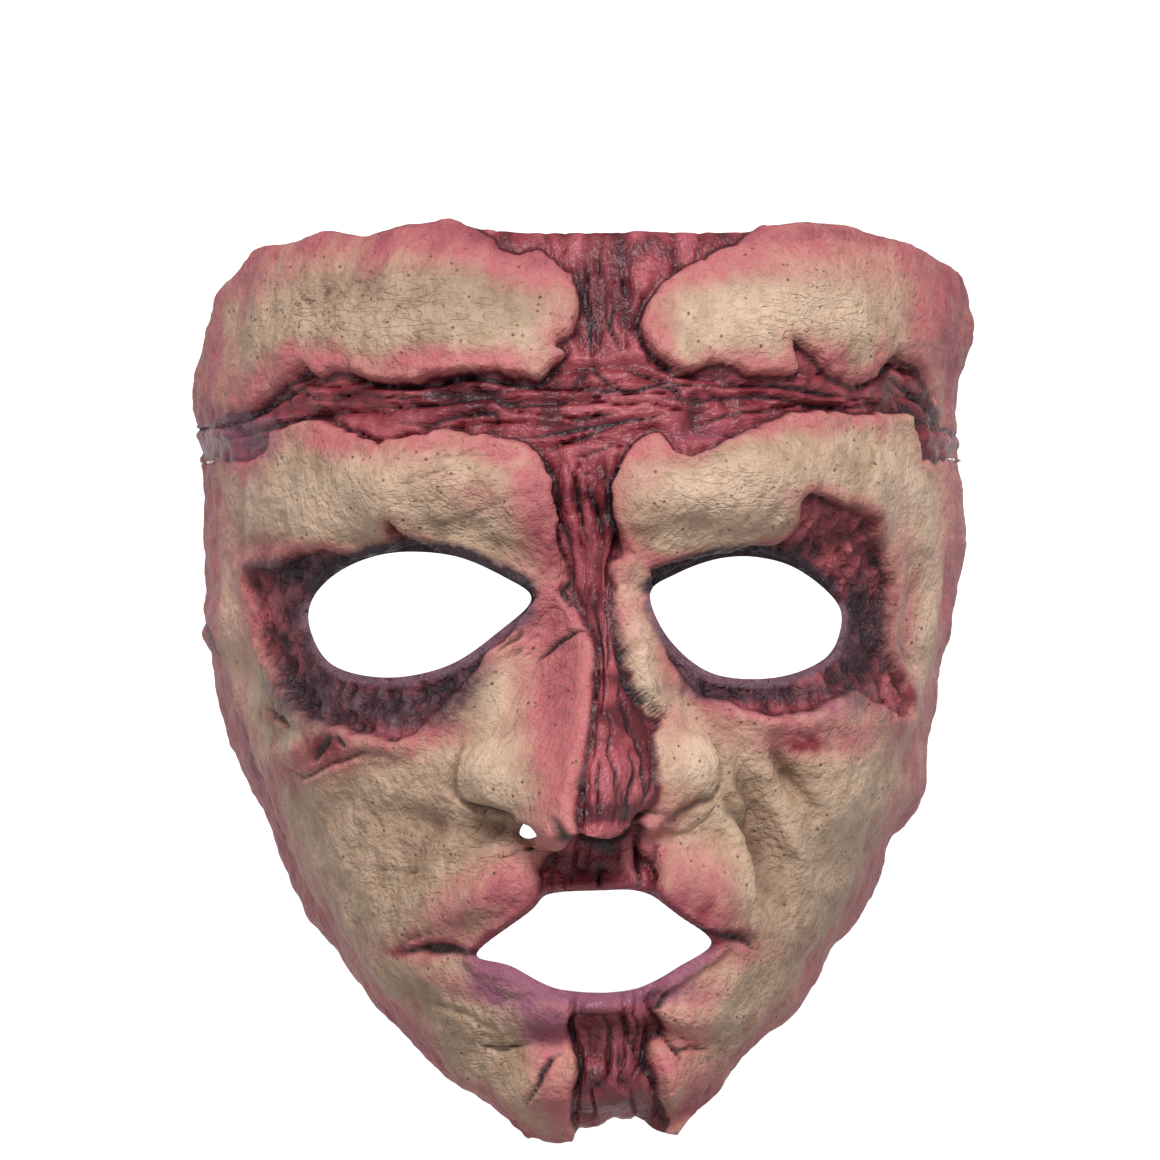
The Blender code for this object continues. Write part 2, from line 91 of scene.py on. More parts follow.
# Face skin
# One piece of cast latex about 2 mm thick, open at the back, with worn and nicked edges. Four raised
# pads of skin stand round a sunken cross-shaped wound. The form is laid out by level sections from
# the chin to the forehead, as in the solid model.
MASK_WIDTH = 168.0 * MM
MASK_HEIGHT = 190.0 * MM
WRAP_DEPTH = 88.0 * MM
LATEX_WALL = 2.0 * MM
NOSE_REACH = 23.0 * MM
FORM_HEIGHT = 10.0 * MM
HALF_WIDTH = MASK_WIDTH / 2.0
EYE_LINE = 0.589
FLATNESS = 1.15
RIM_HOLD = 5.0
TOP_START = 0.70
CHIN_END = 0.08
NOSE_DROOP = 0.30
RIDGE_WIDTH = 0.45
RIDGE_SHARE = 0.50
WING_CREASE = 1.2
CENTRE_SHARE = 0.80
NUDGE = 0.002
SEAT_TURN = 0.79
SEAT_FADE = 0.113
COLUMNS = 306
ROWS = 279
INNER_STEP = 3

# Level sections. Widths are shares of the half width, front and back are shares of the wrap depth
# behind the bridge, and wrap is how far round the section turns, in degrees.
SECTIONS = {
    "columns": ("up", "left", "right", "front", "back", "wrap"),
    "rows": (
        (0.00, 0.13, 0.22, 0.07, 0.10, 34),
        (0.07, 0.33, 0.36, -0.01, 0.23, 56),
        (0.17, 0.56, 0.59, -0.035, 0.52, 70),
        (0.25, 0.69, 0.71, -0.045, 0.75, 77),
        (0.32, 0.78, 0.80, -0.045, 0.865, 80),
        (0.41, 0.865, 0.875, -0.035, 0.955, 81),
        (0.50, 0.92, 0.915, -0.015, 0.99, 81),
        (0.60, 0.955, 0.95, 0.00, 1.00, 81),
        (0.70, 0.965, 0.97, 0.00, 0.985, 81),
        (0.80, 0.985, 0.972, 0.02, 0.95, 81),
        (0.90, 0.96, 0.985, 0.09, 0.885, 80),
        (1.00, 0.93, 0.96, 0.215, 0.785, 78),
    ),
}

# The worn side rims, with their nicks and steps.
RIM = {
    "columns": ("up", "left", "right"),
    "rows": (
        (0.00, 0.12, 0.21),
        (0.04, 0.195, 0.28),
        (0.075, 0.34, 0.36),
        (0.11, 0.425, 0.445),
        (0.14, 0.495, 0.53),
        (0.175, 0.57, 0.60),
        (0.20, 0.615, 0.625),
        (0.23, 0.68, 0.685),
        (0.27, 0.722, 0.75),
        (0.32, 0.782, 0.79),
        (0.37, 0.835, 0.87),
        (0.43, 0.88, 0.88),
        (0.48, 0.912, 0.905),
        (0.52, 0.93, 0.923),
        (0.545, 0.972, 0.950),
        (0.60, 0.965, 0.962),
        (0.645, 0.963, 0.98),
        (0.70, 0.965, 0.977),
        (0.765, 0.979, 0.965),
        (0.83, 0.997, 0.967),
        (0.865, 0.975, 0.986),
        (0.90, 0.945, 0.989),
        (0.94, 0.915, 0.965),
        (1.00, 0.87, 0.93),
    ),
}

TOP_EDGE = {
    "columns": ("across", "up"),
    "rows": (
        (-0.95, 0.915), (-0.915, 0.940), (-0.87, 0.966), (-0.73, 0.979), (-0.64, 0.990),
        (-0.54, 0.984), (-0.425, 0.997), (-0.33, 1.002), (-0.21, 0.993), (-0.08, 0.990),
        (0.13, 0.992), (0.34, 0.991), (0.41, 0.992), (0.50, 0.996), (0.67, 0.994), (0.75, 0.986),
        (0.87, 0.975), (0.945, 0.957), (0.98, 0.945),
    ),
}

CHIN_EDGE = {
    "columns": ("across", "up"),
    "rows": (
        (-0.20, 0.012), (-0.13, 0.012), (-0.04, 0.006), (-0.01, 0.013), (0.045, 0.019),
        (0.12, 0.027), (0.15, 0.023), (0.185, 0.017), (0.25, 0.017),
    ),
}

# Soft bulges and hollows of the face. Out is a share of the form height.
FORMS = {
    "columns": ("across", "up", "wide", "high", "turn", "out"),
    "rows": (
        (-0.39, 0.716, 0.25, 0.040, -6, 0.55),
        (-0.12, 0.675, 0.08, 0.050, 20, 0.35),
        (0.36, 0.716, 0.25, 0.040, 8, 0.50),
        (0.16, 0.690, 0.08, 0.050, -20, 0.35),
        (-0.41, 0.592, 0.25, 0.070, 0, -0.80),
        (0.42, 0.597, 0.25, 0.070, 0, -0.80),
        (-0.50, 0.906, 0.33, 0.060, 0, 0.25),
        (0.54, 0.906, 0.30, 0.060, 0, 0.25),
        (-0.62, 0.440, 0.20, 0.070, 0, 0.35),
        (0.60, 0.450, 0.20, 0.070, 0, 0.45),
        (0.01, 0.235, 0.36, 0.100, 0, 0.60),
        (0.45, 0.345, 0.070, 0.070, 20, -0.35),
        (-0.42, 0.345, 0.070, 0.060, -20, -0.20),
        (-0.15, 0.287, 0.13, 0.026, 25, 0.25),
        (0.23, 0.285, 0.12, 0.026, -30, 0.25),
        (0.02, 0.148, 0.20, 0.018, 0, 0.30),
        (0.05, 0.118, 0.22, 0.016, 0, -0.25),
        (0.05, 0.074, 0.20, 0.045, 0, 0.50),
    ),
}

# Level sections of the nose. Out is a share of the nose's reach.
NOSE = {
    "columns": ("up", "centre", "half", "out"),
    "rows": (
        (0.30, 0.00, 0.20, 0.00),
        (0.325, 0.03, 0.20, 0.05),
        (0.340, 0.03, 0.22, 0.30),
        (0.357, 0.03, 0.25, 0.75),
        (0.375, 0.02, 0.28, 1.00),
        (0.395, 0.02, 0.30, 1.00),
        (0.42, 0.03, 0.29, 0.95),
        (0.46, 0.04, 0.23, 0.82),
        (0.515, 0.05, 0.17, 0.62),
        (0.57, 0.06, 0.13, 0.42),
        (0.62, 0.055, 0.10, 0.20),
        (0.66, 0.05, 0.08, 0.06),
        (0.70, 0.05, 0.07, 0.00),
    ),
}

# Heights at which the net's rows lie closer together.
CLOSE_ROWS = {
    "columns": ("up", "spread", "extra"),
    "rows": (
        (0.35, 0.05, 1.1),
        (0.60, 0.12, 0.4),
        (0.80, 0.04, 0.5),
    ),
}

# Rims of the holes, as points across and up round each one, and their cuts' reach along Y as shares
# of the wrap depth.
LEFT_EYE = (
    (-0.673, 0.559), (-0.614, 0.518), (-0.474, 0.505), (-0.323, 0.519), (-0.200, 0.556),
    (-0.123, 0.590), (-0.187, 0.613), (-0.310, 0.636), (-0.459, 0.640), (-0.580, 0.624),
    (-0.660, 0.594),
)
RIGHT_EYE = (
    (0.165, 0.595), (0.212, 0.547), (0.318, 0.510), (0.471, 0.505), (0.597, 0.525),
    (0.640, 0.560), (0.624, 0.589), (0.530, 0.622), (0.429, 0.635), (0.331, 0.633),
    (0.230, 0.617),
)
MOUTH = (
    (-0.254, 0.212), (-0.126, 0.258), (-0.079, 0.276), (0.039, 0.280), (0.148, 0.278),
    (0.234, 0.253), (0.313, 0.223), (0.234, 0.198), (0.118, 0.173), (-0.049, 0.174),
    (-0.170, 0.199),
)
NOSTRIL = ((-0.150, 0.340), (-0.130, 0.335), (-0.108, 0.339), (-0.122, 0.349), (-0.140, 0.351))
HOLES = (
    ("left_eye", LEFT_EYE, (-0.35, 0.55)),
    ("right_eye", RIGHT_EYE, (-0.35, 0.55)),
    ("mouth", MOUTH, (-0.50, 0.35)),
    ("nostril", NOSTRIL, (-0.45, -0.02)),
)

# Edges of the four skin pads in picture points, each closed outside the mask.
FOREHEAD_LEFT = (
    (380, 190), (440, 205), (470, 226), (492, 239), (504, 249), (538, 251), (561, 264), (574, 280),
    (580, 306), (574, 327), (556, 343), (564, 351), (553, 364), (540, 380), (512, 374), (478, 369),
    (446, 374), (412, 382), (373, 382), (352, 374), (336, 372), (323, 377), (309, 371), (304, 364),
    (300, 371), (289, 377), (253, 406), (229, 415), (205, 423), (150, 440), (120, 300), (200, 190),
)
FOREHEAD_RIGHT = (
    (770, 190), (752, 230), (716, 252), (671, 274), (652, 296), (641, 316), (639, 332), (659, 354),
    (684, 370), (722, 362), (757, 373), (786, 376), (801, 371), (797, 340), (818, 360), (859, 386),
    (879, 376), (898, 357), (923, 370), (926, 383), (939, 411), (946, 428), (1040, 440), (1040, 180),
    (900, 180),
)
CHEEK_LEFT = (
    (100, 455), (205, 458), (240, 462), (262, 452), (268, 432), (300, 421), (321, 419), (339, 427),
    (360, 437), (378, 442), (412, 434), (441, 429), (472, 432), (530, 442), (548, 468), (556, 479),
    (552, 493), (560, 528), (566, 587), (582, 630), (590, 651), (587, 708), (582, 748), (578, 780),
    (572, 810), (574, 838), (556, 848), (540, 861), (541, 886), (545, 950), (570, 985), (573, 1008),
    (567, 1033), (572, 1047), (578, 1066), (571, 1090), (568, 1123), (560, 1190), (100, 1190),
)
CHEEK_RIGHT = (
    (611, 484), (622, 457), (639, 440), (662, 430), (684, 456), (735, 437), (777, 418), (799, 411),
    (834, 411), (863, 415), (910, 415), (920, 443), (935, 464), (1040, 470), (1040, 1190),
    (668, 1190), (668, 1123), (663, 1090), (656, 1066), (650, 1047), (667, 1033), (656, 1008),
    (662, 985), (664, 950), (659, 886), (658, 858), (641, 848), (658, 820), (663, 788), (655, 736),
    (665, 722), (655, 712), (640, 689), (624, 641), (622, 609), (614, 562), (626, 555), (614, 519),
)
PADS = (FOREHEAD_LEFT, FOREHEAD_RIGHT, CHEEK_LEFT, CHEEK_RIGHT)

# Torn rings round the eye holes, where the skin is gone down to the flesh.
EYE_RING_LEFT = (
    (280, 568), (324, 547), (341, 551), (365, 557), (388, 549), (399, 540), (394, 509), (415, 532),
    (454, 551), (468, 557), (504, 573), (527, 587), (538, 598), (525, 616), (508, 640), (492, 651),
    (473, 675), (449, 700), (426, 724), (402, 740), (369, 733), (341, 726), (322, 722), (296, 700),
    (280, 665), (263, 640), (258, 604), (254, 573),
)
EYE_RING_RIGHT = (
    (645, 590), (649, 574), (657, 566), (694, 554), (723, 547), (742, 540), (765, 543), (786, 528),
    (793, 514), (801, 493), (822, 498), (848, 510), (862, 521), (867, 538), (883, 573), (882, 602),
    (881, 625), (881, 649), (890, 672), (900, 682), (903, 700), (896, 716), (872, 702), (850, 692),
    (830, 702), (800, 714), (770, 716), (751, 711), (712, 700), (690, 690), (668, 660), (650, 625),
)
EYE_RINGS = (EYE_RING_LEFT, EYE_RING_RIGHT)

# Folds and lumps that are too small for the solid model, in picture points. Out is in millimetres.
FOLDS = {
    "columns": ("across", "down", "wide", "high", "turn", "out"),
    "rows": (
        (492, 774, 30, 27, 10, 3.6),
        (690, 768, 23, 34, 0, 3.2),
        (616, 790, 34, 58, 0, 1.8),
        (530, 735, 26, 50, 10, 1.2),
        (555, 832, 16, 16, 30, 1.6),
        (756, 850, 10, 64, 13, -3.4),
        (778, 840, 14, 70, 14, 1.4),
        (738, 850, 12, 50, 10, 1.2),
        (500, 830, 34, 14, 20, -1.4),
        (800, 724, 60, 12, 0, 1.0),
        (786, 835, 16, 70, 14, 2.2),
        (722, 880, 22, 40, 10, 2.0),
        (712, 905, 26, 22, 30, 1.0),
        (784, 770, 11, 32, 28, -2.4),
        (420, 855, 12, 50, -30, -1.0),
        (345, 800, 12, 50, -34, -0.9),
        (760, 735, 22, 30, 28, 1.2),
        (836, 790, 26, 64, -20, 1.4),
        (440, 825, 30, 14, -10, -1.6),
        (430, 780, 40, 26, -20, 0.8),
        (475, 905, 56, 16, 24, 2.0),
        (440, 975, 44, 14, -18, 1.4),
        (505, 1000, 30, 30, -30, 0.8),
        (716, 985, 34, 18, 34, 1.6),
        (690, 1020, 20, 14, 20, 1.0),
        (228, 650, 11, 130, 5, 1.4),
        (250, 640, 8, 110, 5, -0.9),
        (926, 600, 11, 120, -7, 1.2),
        (905, 620, 8, 80, -7, -0.8),
        (330, 850, 30, 70, 18, 0.8),
        (370, 494, 110, 34, 3, 2.0),
        (330, 535, 60, 12, 4, 0.8),
        (470, 545, 50, 14, -20, 1.4),
        (760, 478, 110, 36, -4, 1.8),
        (700, 534, 60, 14, 8, 1.6),
        (722, 506, 84, 22, -8, 2.2),
        (356, 520, 90, 18, 4, 1.4),
        (868, 480, 18, 60, -8, 1.2),
        (300, 750, 50, 12, 14, 1.0),
        (390, 745, 40, 10, 0, 0.8),
        (805, 765, 40, 12, 10, 0.8),
        (545, 1085, 20, 30, 10, 1.0),
        (700, 1085, 22, 30, -20, 0.8),
        (520, 990, 40, 7, -24, 0.9),
        (600, 1008, 50, 6, 0, 1.0),
        (660, 985, 34, 7, 34, 0.9),
        (652, 820, 14, 12, 30, -2.2),
        (600, 866, 44, 14, 0, -1.2),
        (420, 300, 90, 22, 0, -0.6),
        (800, 310, 80, 22, 0, -0.6),
    ),
}

# Creases, slits and small ridges drawn over the skin. Width and depth are in millimetres, a minus
# depth stands up, and dark is how much dark paint and painted shade lies in it.
CREASES = {
    "columns": ("width", "depth", "dark", "points"),
    "rows": (
        (0.6, 1.2, 1.0, ((341, 733), (328, 748), (317, 762))),
        (0.5, 0.9, 0.9, ((343, 734), (350, 747))),
        (0.55, 1.0, 0.8, ((268, 708), (284, 721), (299, 730))),
        (0.5, 0.9, 0.7, ((288, 766), (308, 777), (336, 763), (365, 751), (402, 756))),
        (0.5, 0.9, 0.8, ((500, 655), (514, 643), (529, 631))),
        (0.45, 0.8, 0.6, ((512, 660), (524, 648))),
        (0.55, 1.2, 1.0, ((537, 665), (555, 646), (570, 635), (586, 626))),
        (0.9, 1.5, 0.55, ((466, 742), (459, 766), (457, 788), (459, 801))),
        (0.9, 1.7, 0.75, ((459, 801), (480, 805), (505, 812), (523, 825))),
        (0.6, 1.0, 0.9, ((525, 852), (541, 847))),
        (0.5, 0.7, 0.6, ((489, 862), (512, 858), (525, 852))),
        (1.0, 1.5, 0.55, ((707, 735), (716, 757), (716, 780), (706, 795))),
        (0.9, 1.3, 0.6, ((706, 795), (690, 801), (678, 812), (666, 826))),
        (1.3, 1.8, 0.6, ((716, 788), (728, 812), (744, 838), (751, 862), (757, 888), (763, 914))),
        (1.0, 1.2, 0.4, ((770, 748), (778, 768), (790, 786), (808, 806))),
        (0.9, 1.5, 1.0, ((403, 952), (427, 947), (452, 949), (482, 955))),
        (0.9, 1.4, 0.9, ((688, 925), (713, 933), (738, 938), (750, 947))),
        (0.6, 0.8, 0.5, ((404, 950), (412, 938), (440, 931))),
        (0.6, 1.1, 0.9, ((667, 988), (661, 1001), (654, 1014))),
        (0.6, 1.0, 0.8, ((657, 1020), (664, 1038), (673, 1052), (686, 1047), (706, 1049))),
        (0.5, 0.9, 0.8, ((672, 1050), (678, 1061))),
        (0.4, 0.5, 0.4, ((690, 1057), (704, 1064))),
        (0.6, 1.0, 0.8, ((483, 1044), (499, 1048), (534, 1043))),
        (0.6, 1.1, 0.9, ((563, 1056), (551, 1060), (543, 1080), (530, 1102))),
        (0.4, 0.5, 0.4, ((508, 1112), (518, 1119), (528, 1116))),
        (0.5, 0.7, 0.7, ((300, 287), (309, 300), (313, 311))),
        (0.5, 0.6, 0.6, ((331, 285), (325, 300))),
        (0.45, 0.5, 0.5, ((292, 300), (303, 309))),
        (0.5, 0.8, 0.5, ((780, 700), (796, 735), (812, 742))),
        (0.6, 0.8, 0.5, ((396, 467), (440, 459), (478, 455), (520, 462))),
        (0.4, 0.5, 0.5, ((402, 484), (440, 474), (470, 463))),
        (0.4, 0.5, 0.5, ((428, 520), (470, 512), (515, 496), (545, 492))),
        (0.4, 0.5, 0.4, ((410, 452), (428, 449), (452, 459))),
        (0.5, 0.6, 0.4, ((662, 447), (676, 466), (690, 470), (716, 455))),
        (0.5, 0.7, 0.4, ((430, 1000), (470, 1010), (505, 1030))),
        (0.5, 0.7, 0.5, ((885, 640), (905, 660), (912, 676))),
        (0.7, 1.0, 0.7, ((200, 594), (204, 625), (216, 648), (228, 656))),
        (0.6, 0.7, 0.5, ((232, 690), (255, 762), (290, 850), (330, 930))),
        (0.9, -0.8, 0.0, ((616, 566), (626, 606), (638, 660), (652, 700), (666, 726))),
        (0.6, 0.6, 0.35, ((648, 590), (650, 620), (662, 655), (680, 682))),
        (0.5, 0.5, 0.3, ((470, 640), (462, 690), (470, 720))),
        (0.5, 0.6, 0.5, ((382, 868), (412, 872), (430, 868))),
        (0.5, 0.6, 0.4, ((856, 430), (868, 452), (862, 480))),
    ),
}

# Cracks drawn in the cross wound, in the same way.
CRACKS = {
    "columns": ("width", "depth", "dark", "points"),
    "rows": (
        (0.7, 1.0, 1.0, ((333, 377), (387, 385), (432, 384), (459, 376), (496, 379), (536, 385),
                         (550, 373), (566, 354))),
        (0.45, 0.8, 0.8, ((340, 391), (396, 396), (457, 393), (496, 390), (520, 386))),
        (0.5, 0.9, 1.0, ((366, 402), (401, 406), (457, 399), (491, 395), (504, 402), (534, 404),
                         (562, 401), (586, 393))),
        (0.5, 0.9, 0.9, ((385, 417), (423, 424), (457, 414), (493, 411), (497, 419), (476, 422))),
        (0.55, 0.9, 1.0, ((516, 438), (551, 432), (579, 427), (607, 424), (632, 419), (668, 412))),
        (0.5, 0.9, 0.9, ((543, 450), (571, 439), (590, 434), (615, 425))),
        (0.45, 0.8, 0.9, ((557, 413), (576, 419), (596, 414), (620, 411))),
        (0.5, 0.9, 1.0, ((562, 398), (582, 387), (607, 388), (632, 389), (659, 384), (677, 389),
                         (685, 401), (709, 402))),
        (0.5, 0.9, 1.0, ((593, 356), (597, 370), (607, 381), (622, 388))),
        (0.5, 0.9, 0.8, ((593, 358), (582, 378), (566, 393))),
        (0.5, 0.9, 0.9, ((618, 362), (637, 371), (659, 378), (684, 384), (706, 382))),
        (0.6, 1.0, 1.0, ((572, 272), (583, 292), (587, 312), (591, 337), (593, 358))),
        (0.5, 0.9, 1.0, ((587, 254), (586, 289), (592, 312), (598, 331), (602, 350))),
        (0.4, 0.8, 0.9, ((594, 250), (602, 271))),
        (0.5, 0.9, 1.0, ((611, 283), (614, 303), (609, 323), (618, 337), (624, 353))),
        (0.4, 0.8, 0.9, ((617, 248), (621, 270), (626, 287), (635, 288))),
        (0.4, 0.7, 0.7, ((604, 262), (606, 300), (603, 330))),
        (0.6, 1.0, 0.8, ((668, 258), (655, 280), (640, 303), (637, 322), (644, 342), (662, 362),
                         (696, 374), (729, 380))),
        (0.5, 0.9, 1.0, ((700, 384), (750, 384), (796, 386), (830, 394), (858, 398))),
        (0.5, 0.9, 0.9, ((654, 396), (700, 398), (760, 394), (810, 402), (850, 408), (892, 404))),
        (0.45, 0.8, 0.8, ((687, 426), (712, 419), (732, 413), (770, 409), (806, 403))),
        (0.45, 0.8, 0.9, ((858, 388), (876, 384), (900, 366), (922, 378))),
        (0.5, 0.9, 1.0, ((890, 376), (906, 384), (922, 400), (932, 420), (938, 446))),
        (0.5, 0.9, 0.9, ((902, 396), (916, 414), (924, 436))),
        (0.5, 0.8, 0.9, ((210, 432), (240, 420), (268, 404), (292, 388), (306, 380))),
        (0.5, 0.8, 0.7, ((216, 444), (250, 432), (290, 420), (330, 412), (352, 410))),
        (0.4, 0.7, 0.7, ((300, 398), (330, 398), (352, 392))),
        (0.6, 1.0, 1.0, ((536, 446), (551, 464), (560, 487), (563, 512), (569, 539), (571, 570))),
        (0.5, 0.9, 1.0, ((566, 458), (576, 476), (579, 498), (582, 523), (588, 549))),
        (0.5, 0.9, 1.0, ((584, 472), (590, 498), (598, 526), (605, 552))),
        (0.5, 0.9, 0.9, ((601, 455), (605, 484), (604, 514), (602, 536))),
        (0.6, 1.0, 1.0, ((634, 440), (618, 462), (608, 487), (609, 516), (618, 541), (612, 572))),
        (0.4, 0.7, 0.8, ((573, 456), (596, 451), (620, 441))),
        (0.4, 0.7, 0.7, ((577, 468), (594, 474))),
        (0.5, 0.9, 1.0, ((566, 576), (563, 592), (572, 610))),
        (0.5, 0.9, 1.0, ((590, 590), (588, 612), (594, 640), (603, 660), (607, 678), (604, 700),
                         (601, 714))),
        (0.45, 0.8, 0.9, ((594, 656), (592, 684), (589, 698))),
        (0.6, 1.0, 1.0, ((609, 566), (609, 597), (613, 616), (614, 636), (616, 650), (611, 668))),
        (0.6, 1.1, 1.0, ((620, 612), (624, 636), (630, 665), (636, 686), (647, 701), (665, 723))),
        (0.5, 0.9, 1.0, ((627, 667), (626, 690), (630, 710), (633, 730), (641, 742), (647, 756))),
        (0.5, 0.9, 1.0, ((581, 764), (577, 785), (580, 805), (580, 826))),
        (0.45, 0.8, 0.8, ((587, 770), (585, 800), (590, 824))),
        (0.45, 0.8, 0.9, ((601, 752), (595, 780), (600, 800), (600, 832))),
        (0.5, 0.9, 0.9, ((610, 708), (615, 735), (610, 755), (617, 775), (616, 800), (614, 834))),
        (0.4, 0.7, 0.8, ((621, 778), (623, 800), (621, 832))),
        (0.5, 0.9, 1.0, ((630, 742), (637, 767), (631, 792), (627, 812), (628, 836))),
        (0.5, 0.9, 0.9, ((642, 733), (648, 755), (645, 780), (650, 793), (647, 812))),
        (0.4, 0.7, 0.8, ((655, 772), (653, 794))),
        (0.4, 0.7, 0.7, ((593, 716), (589, 740), (593, 762))),
        # Under the nose tip this line is a groove with painted shadow in it, where the nose overhangs the
        # lip.
        (0.9, 1.2, 1.0, ((553, 813), (567, 832), (580, 849), (614, 850), (628, 842), (646, 824),
                         (664, 814))),
        (0.45, 0.7, 0.9, ((600, 856), (601, 890))),
        (0.5, 0.8, 1.0, ((637, 846), (639, 890))),
        (0.4, 0.6, 0.6, ((575, 858), (572, 890))),
        (0.5, 0.8, 0.8, ((657, 842), (655, 872))),
        (0.5, 0.8, 0.9, ((573, 1006), (569, 1034), (580, 1052), (577, 1080), (573, 1106))),
        (0.5, 0.8, 0.8, ((597, 1016), (610, 1034), (608, 1062), (616, 1086))),
        (0.5, 0.8, 0.9, ((619, 1018), (630, 1040), (645, 1056), (636, 1078))),
        (0.7, 1.0, 1.0, ((621, 1050), (625, 1063))),
        (0.5, 0.7, 0.7, ((588, 1078), (604, 1098))),
        (0.5, 0.6, 0.7, ((624, 1080), (630, 1096))),
        (0.6, 0.9, 0.9, ((646, 1016), (649, 1046), (654, 1074), (660, 1100))),
    ),
}


def column(table, name):
    """One named column of a table as an array."""
    place = table["columns"].index(name)
    return np.array([row[place] for row in table["rows"]], dtype=float)


def read(table, name, at):
    """A smooth curve through a column: cubic spans whose slope at a row follows its neighbours."""
    knots = column(table, table["columns"][0])
    values = column(table, name)
    slopes = np.gradient(values, knots)
    place = np.clip(at, knots[0], knots[-1])
    span = np.clip(np.searchsorted(knots, place) - 1, 0, len(knots) - 2)
    length = knots[span + 1] - knots[span]
    t = (place - knots[span]) / length
    start = (1 + 2 * t) * (1 - t) ** 2 * values[span] + t * (1 - t) ** 2 * length * slopes[span]
    end = t * t * (3 - 2 * t) * values[span + 1] + t * t * (t - 1) * length * slopes[span + 1]
    return start + end


def ease(value):
    """A smooth step from 0 to 1."""
    t = np.clip(value, 0.0, 1.0)
    return t * t * (3.0 - 2.0 * t)


def turn_share(across_net):
    """How much of a section's wrap is turned at a place across the net: straight plus cubic."""
    share = np.abs(across_net)
    return CENTRE_SHARE * share + (1.0 - CENTRE_SHARE) * share**3


def base_point(across_net, up_net):
    """The face without features: a level section is part of a flattened ellipse from rim to rim."""
    left = across_net < 0.0
    side = np.where(left, -1.0, 1.0)
    wrap = np.radians(read(SECTIONS, "wrap", up_net))
    turn = wrap * turn_share(across_net)
    reach = np.sin(turn) / np.sin(wrap)
    half = np.where(left, read(SECTIONS, "left", up_net), read(SECTIONS, "right", up_net))
    across = side * half * reach
    top_weight = ease((up_net - TOP_START) / (1.0 - TOP_START))
    chin_weight = 1.0 - ease(up_net / CHIN_END)
    up = up_net + (read(TOP_EDGE, "up", across) - 1.0) * top_weight
    up = up + read(CHIN_EDGE, "up", across) * chin_weight
    rim = np.where(left, read(RIM, "left", up), read(RIM, "right", up))
    x = side * HALF_WIDTH * (half * reach + (rim - half) * reach**RIM_HOLD)
    fall = ((1.0 - np.cos(turn)) / (1.0 - np.cos(wrap))) ** FLATNESS
    front = read(SECTIONS, "front", up_net)
    back = read(SECTIONS, "back", up_net)
    y = WRAP_DEPTH * (front + (back - front) * fall)
    z = MASK_HEIGHT * (up - EYE_LINE)
    return np.stack([x, y, z], axis=-1)


def base_normal(across_net, up_net):
    """Outward direction of the plain face, from two short steps along the net."""
    across_step = base_point(across_net + NUDGE, up_net) - base_point(across_net - NUDGE, up_net)
    above = np.minimum(up_net + NUDGE, 1.0)
    below = np.maximum(up_net - NUDGE, 0.0)
    up_step = base_point(across_net, above) - base_point(across_net, below)
    normal = np.cross(across_step, up_step)
    return normal / np.linalg.norm(normal, axis=-1, keepdims=True)


def bell(offset_across, offset_up, wide, high, turn):
    """A bell over a turned ellipse: e to the minus squared distance in its own widths."""
    cosine, sine = np.cos(np.radians(turn)), np.sin(np.radians(turn))
    first = (offset_across * cosine + offset_up * sine) / wide
    second = (offset_up * cosine - offset_across * sine) / high
    return np.exp(-(first**2) - second**2)


def shares(point):
    """A point's place across and up the mask, as shares."""
    return point[..., 0] / HALF_WIDTH, point[..., 2] / MASK_HEIGHT + EYE_LINE


def form_point(across_net, up_net):
    """The skin before its wounds: the plain face, the soft bulges along its normal, and the nose's
    own sections pushed forward and a little down."""
    normal = base_normal(across_net, up_net)
    point = base_point(across_net, up_net)
    across, up = shares(point)
    bulge = np.zeros_like(across)
    for centre_across, centre_up, wide, high, turn, out in FORMS["rows"]:
        along = (across - centre_across) * HALF_WIDTH
        rise = (up - centre_up) * MASK_HEIGHT
        bulge += out * bell(along, rise, wide * HALF_WIDTH, high * MASK_HEIGHT, turn)
    offset = (across - read(NOSE, "centre", up)) / read(NOSE, "half", up)
    ridge = np.exp(-((offset / RIDGE_WIDTH) ** 2))
    base = np.clip(1.0 - offset**2, 0.0, 1.0) ** WING_CREASE
    nose = read(NOSE, "out", up) * (RIDGE_SHARE * ridge + (1.0 - RIDGE_SHARE) * base) * NOSE_REACH
    point = point + normal * (bulge * FORM_HEIGHT)[..., None]
    return point + nose[..., None] * np.array([0.0, -1.0, -NOSE_DROOP])


def net_rows():
    """Heights of the net's rows, closer together where the table says."""
    fine = np.linspace(0.0, 1.0, 800)
    density = np.ones_like(fine)
    for up, spread, extra in CLOSE_ROWS["rows"]:
        density = density + extra * np.exp(-(((fine - up) / spread) ** 2))
    total = np.concatenate([[0.0], np.cumsum((density[1:] + density[:-1]) / 2.0)])
    return np.interp(np.linspace(0.0, total[-1], ROWS + 1), total, fine)


def net_normal(points):
    """Outward direction of a net of points: its step along the columns across its step up the rows."""
    normal = np.cross(np.gradient(points, axis=1), np.gradient(points, axis=0))
    return normal / np.linalg.norm(normal, axis=-1, keepdims=True)


def closed_curve(points, per_span):
    """A closed curve through a few points, each span a cubic that follows its neighbours."""
    knots = np.array(points, dtype=float)
    before = np.roll(knots, 1, axis=0)
    after = np.roll(knots, -1, axis=0)
    beyond = np.roll(knots, -2, axis=0)
    t = (np.arange(per_span) / per_span)[:, None, None]
    curve = (
        knots
        + 0.5 * t * (after - before)
        + t * t * (before - 2.5 * knots + 2.0 * after - 0.5 * beyond)
        + t**3 * (1.5 * (knots - after) + 0.5 * (beyond - before))
    )
    return np.swapaxes(curve, 0, 1).reshape(-1, 2)


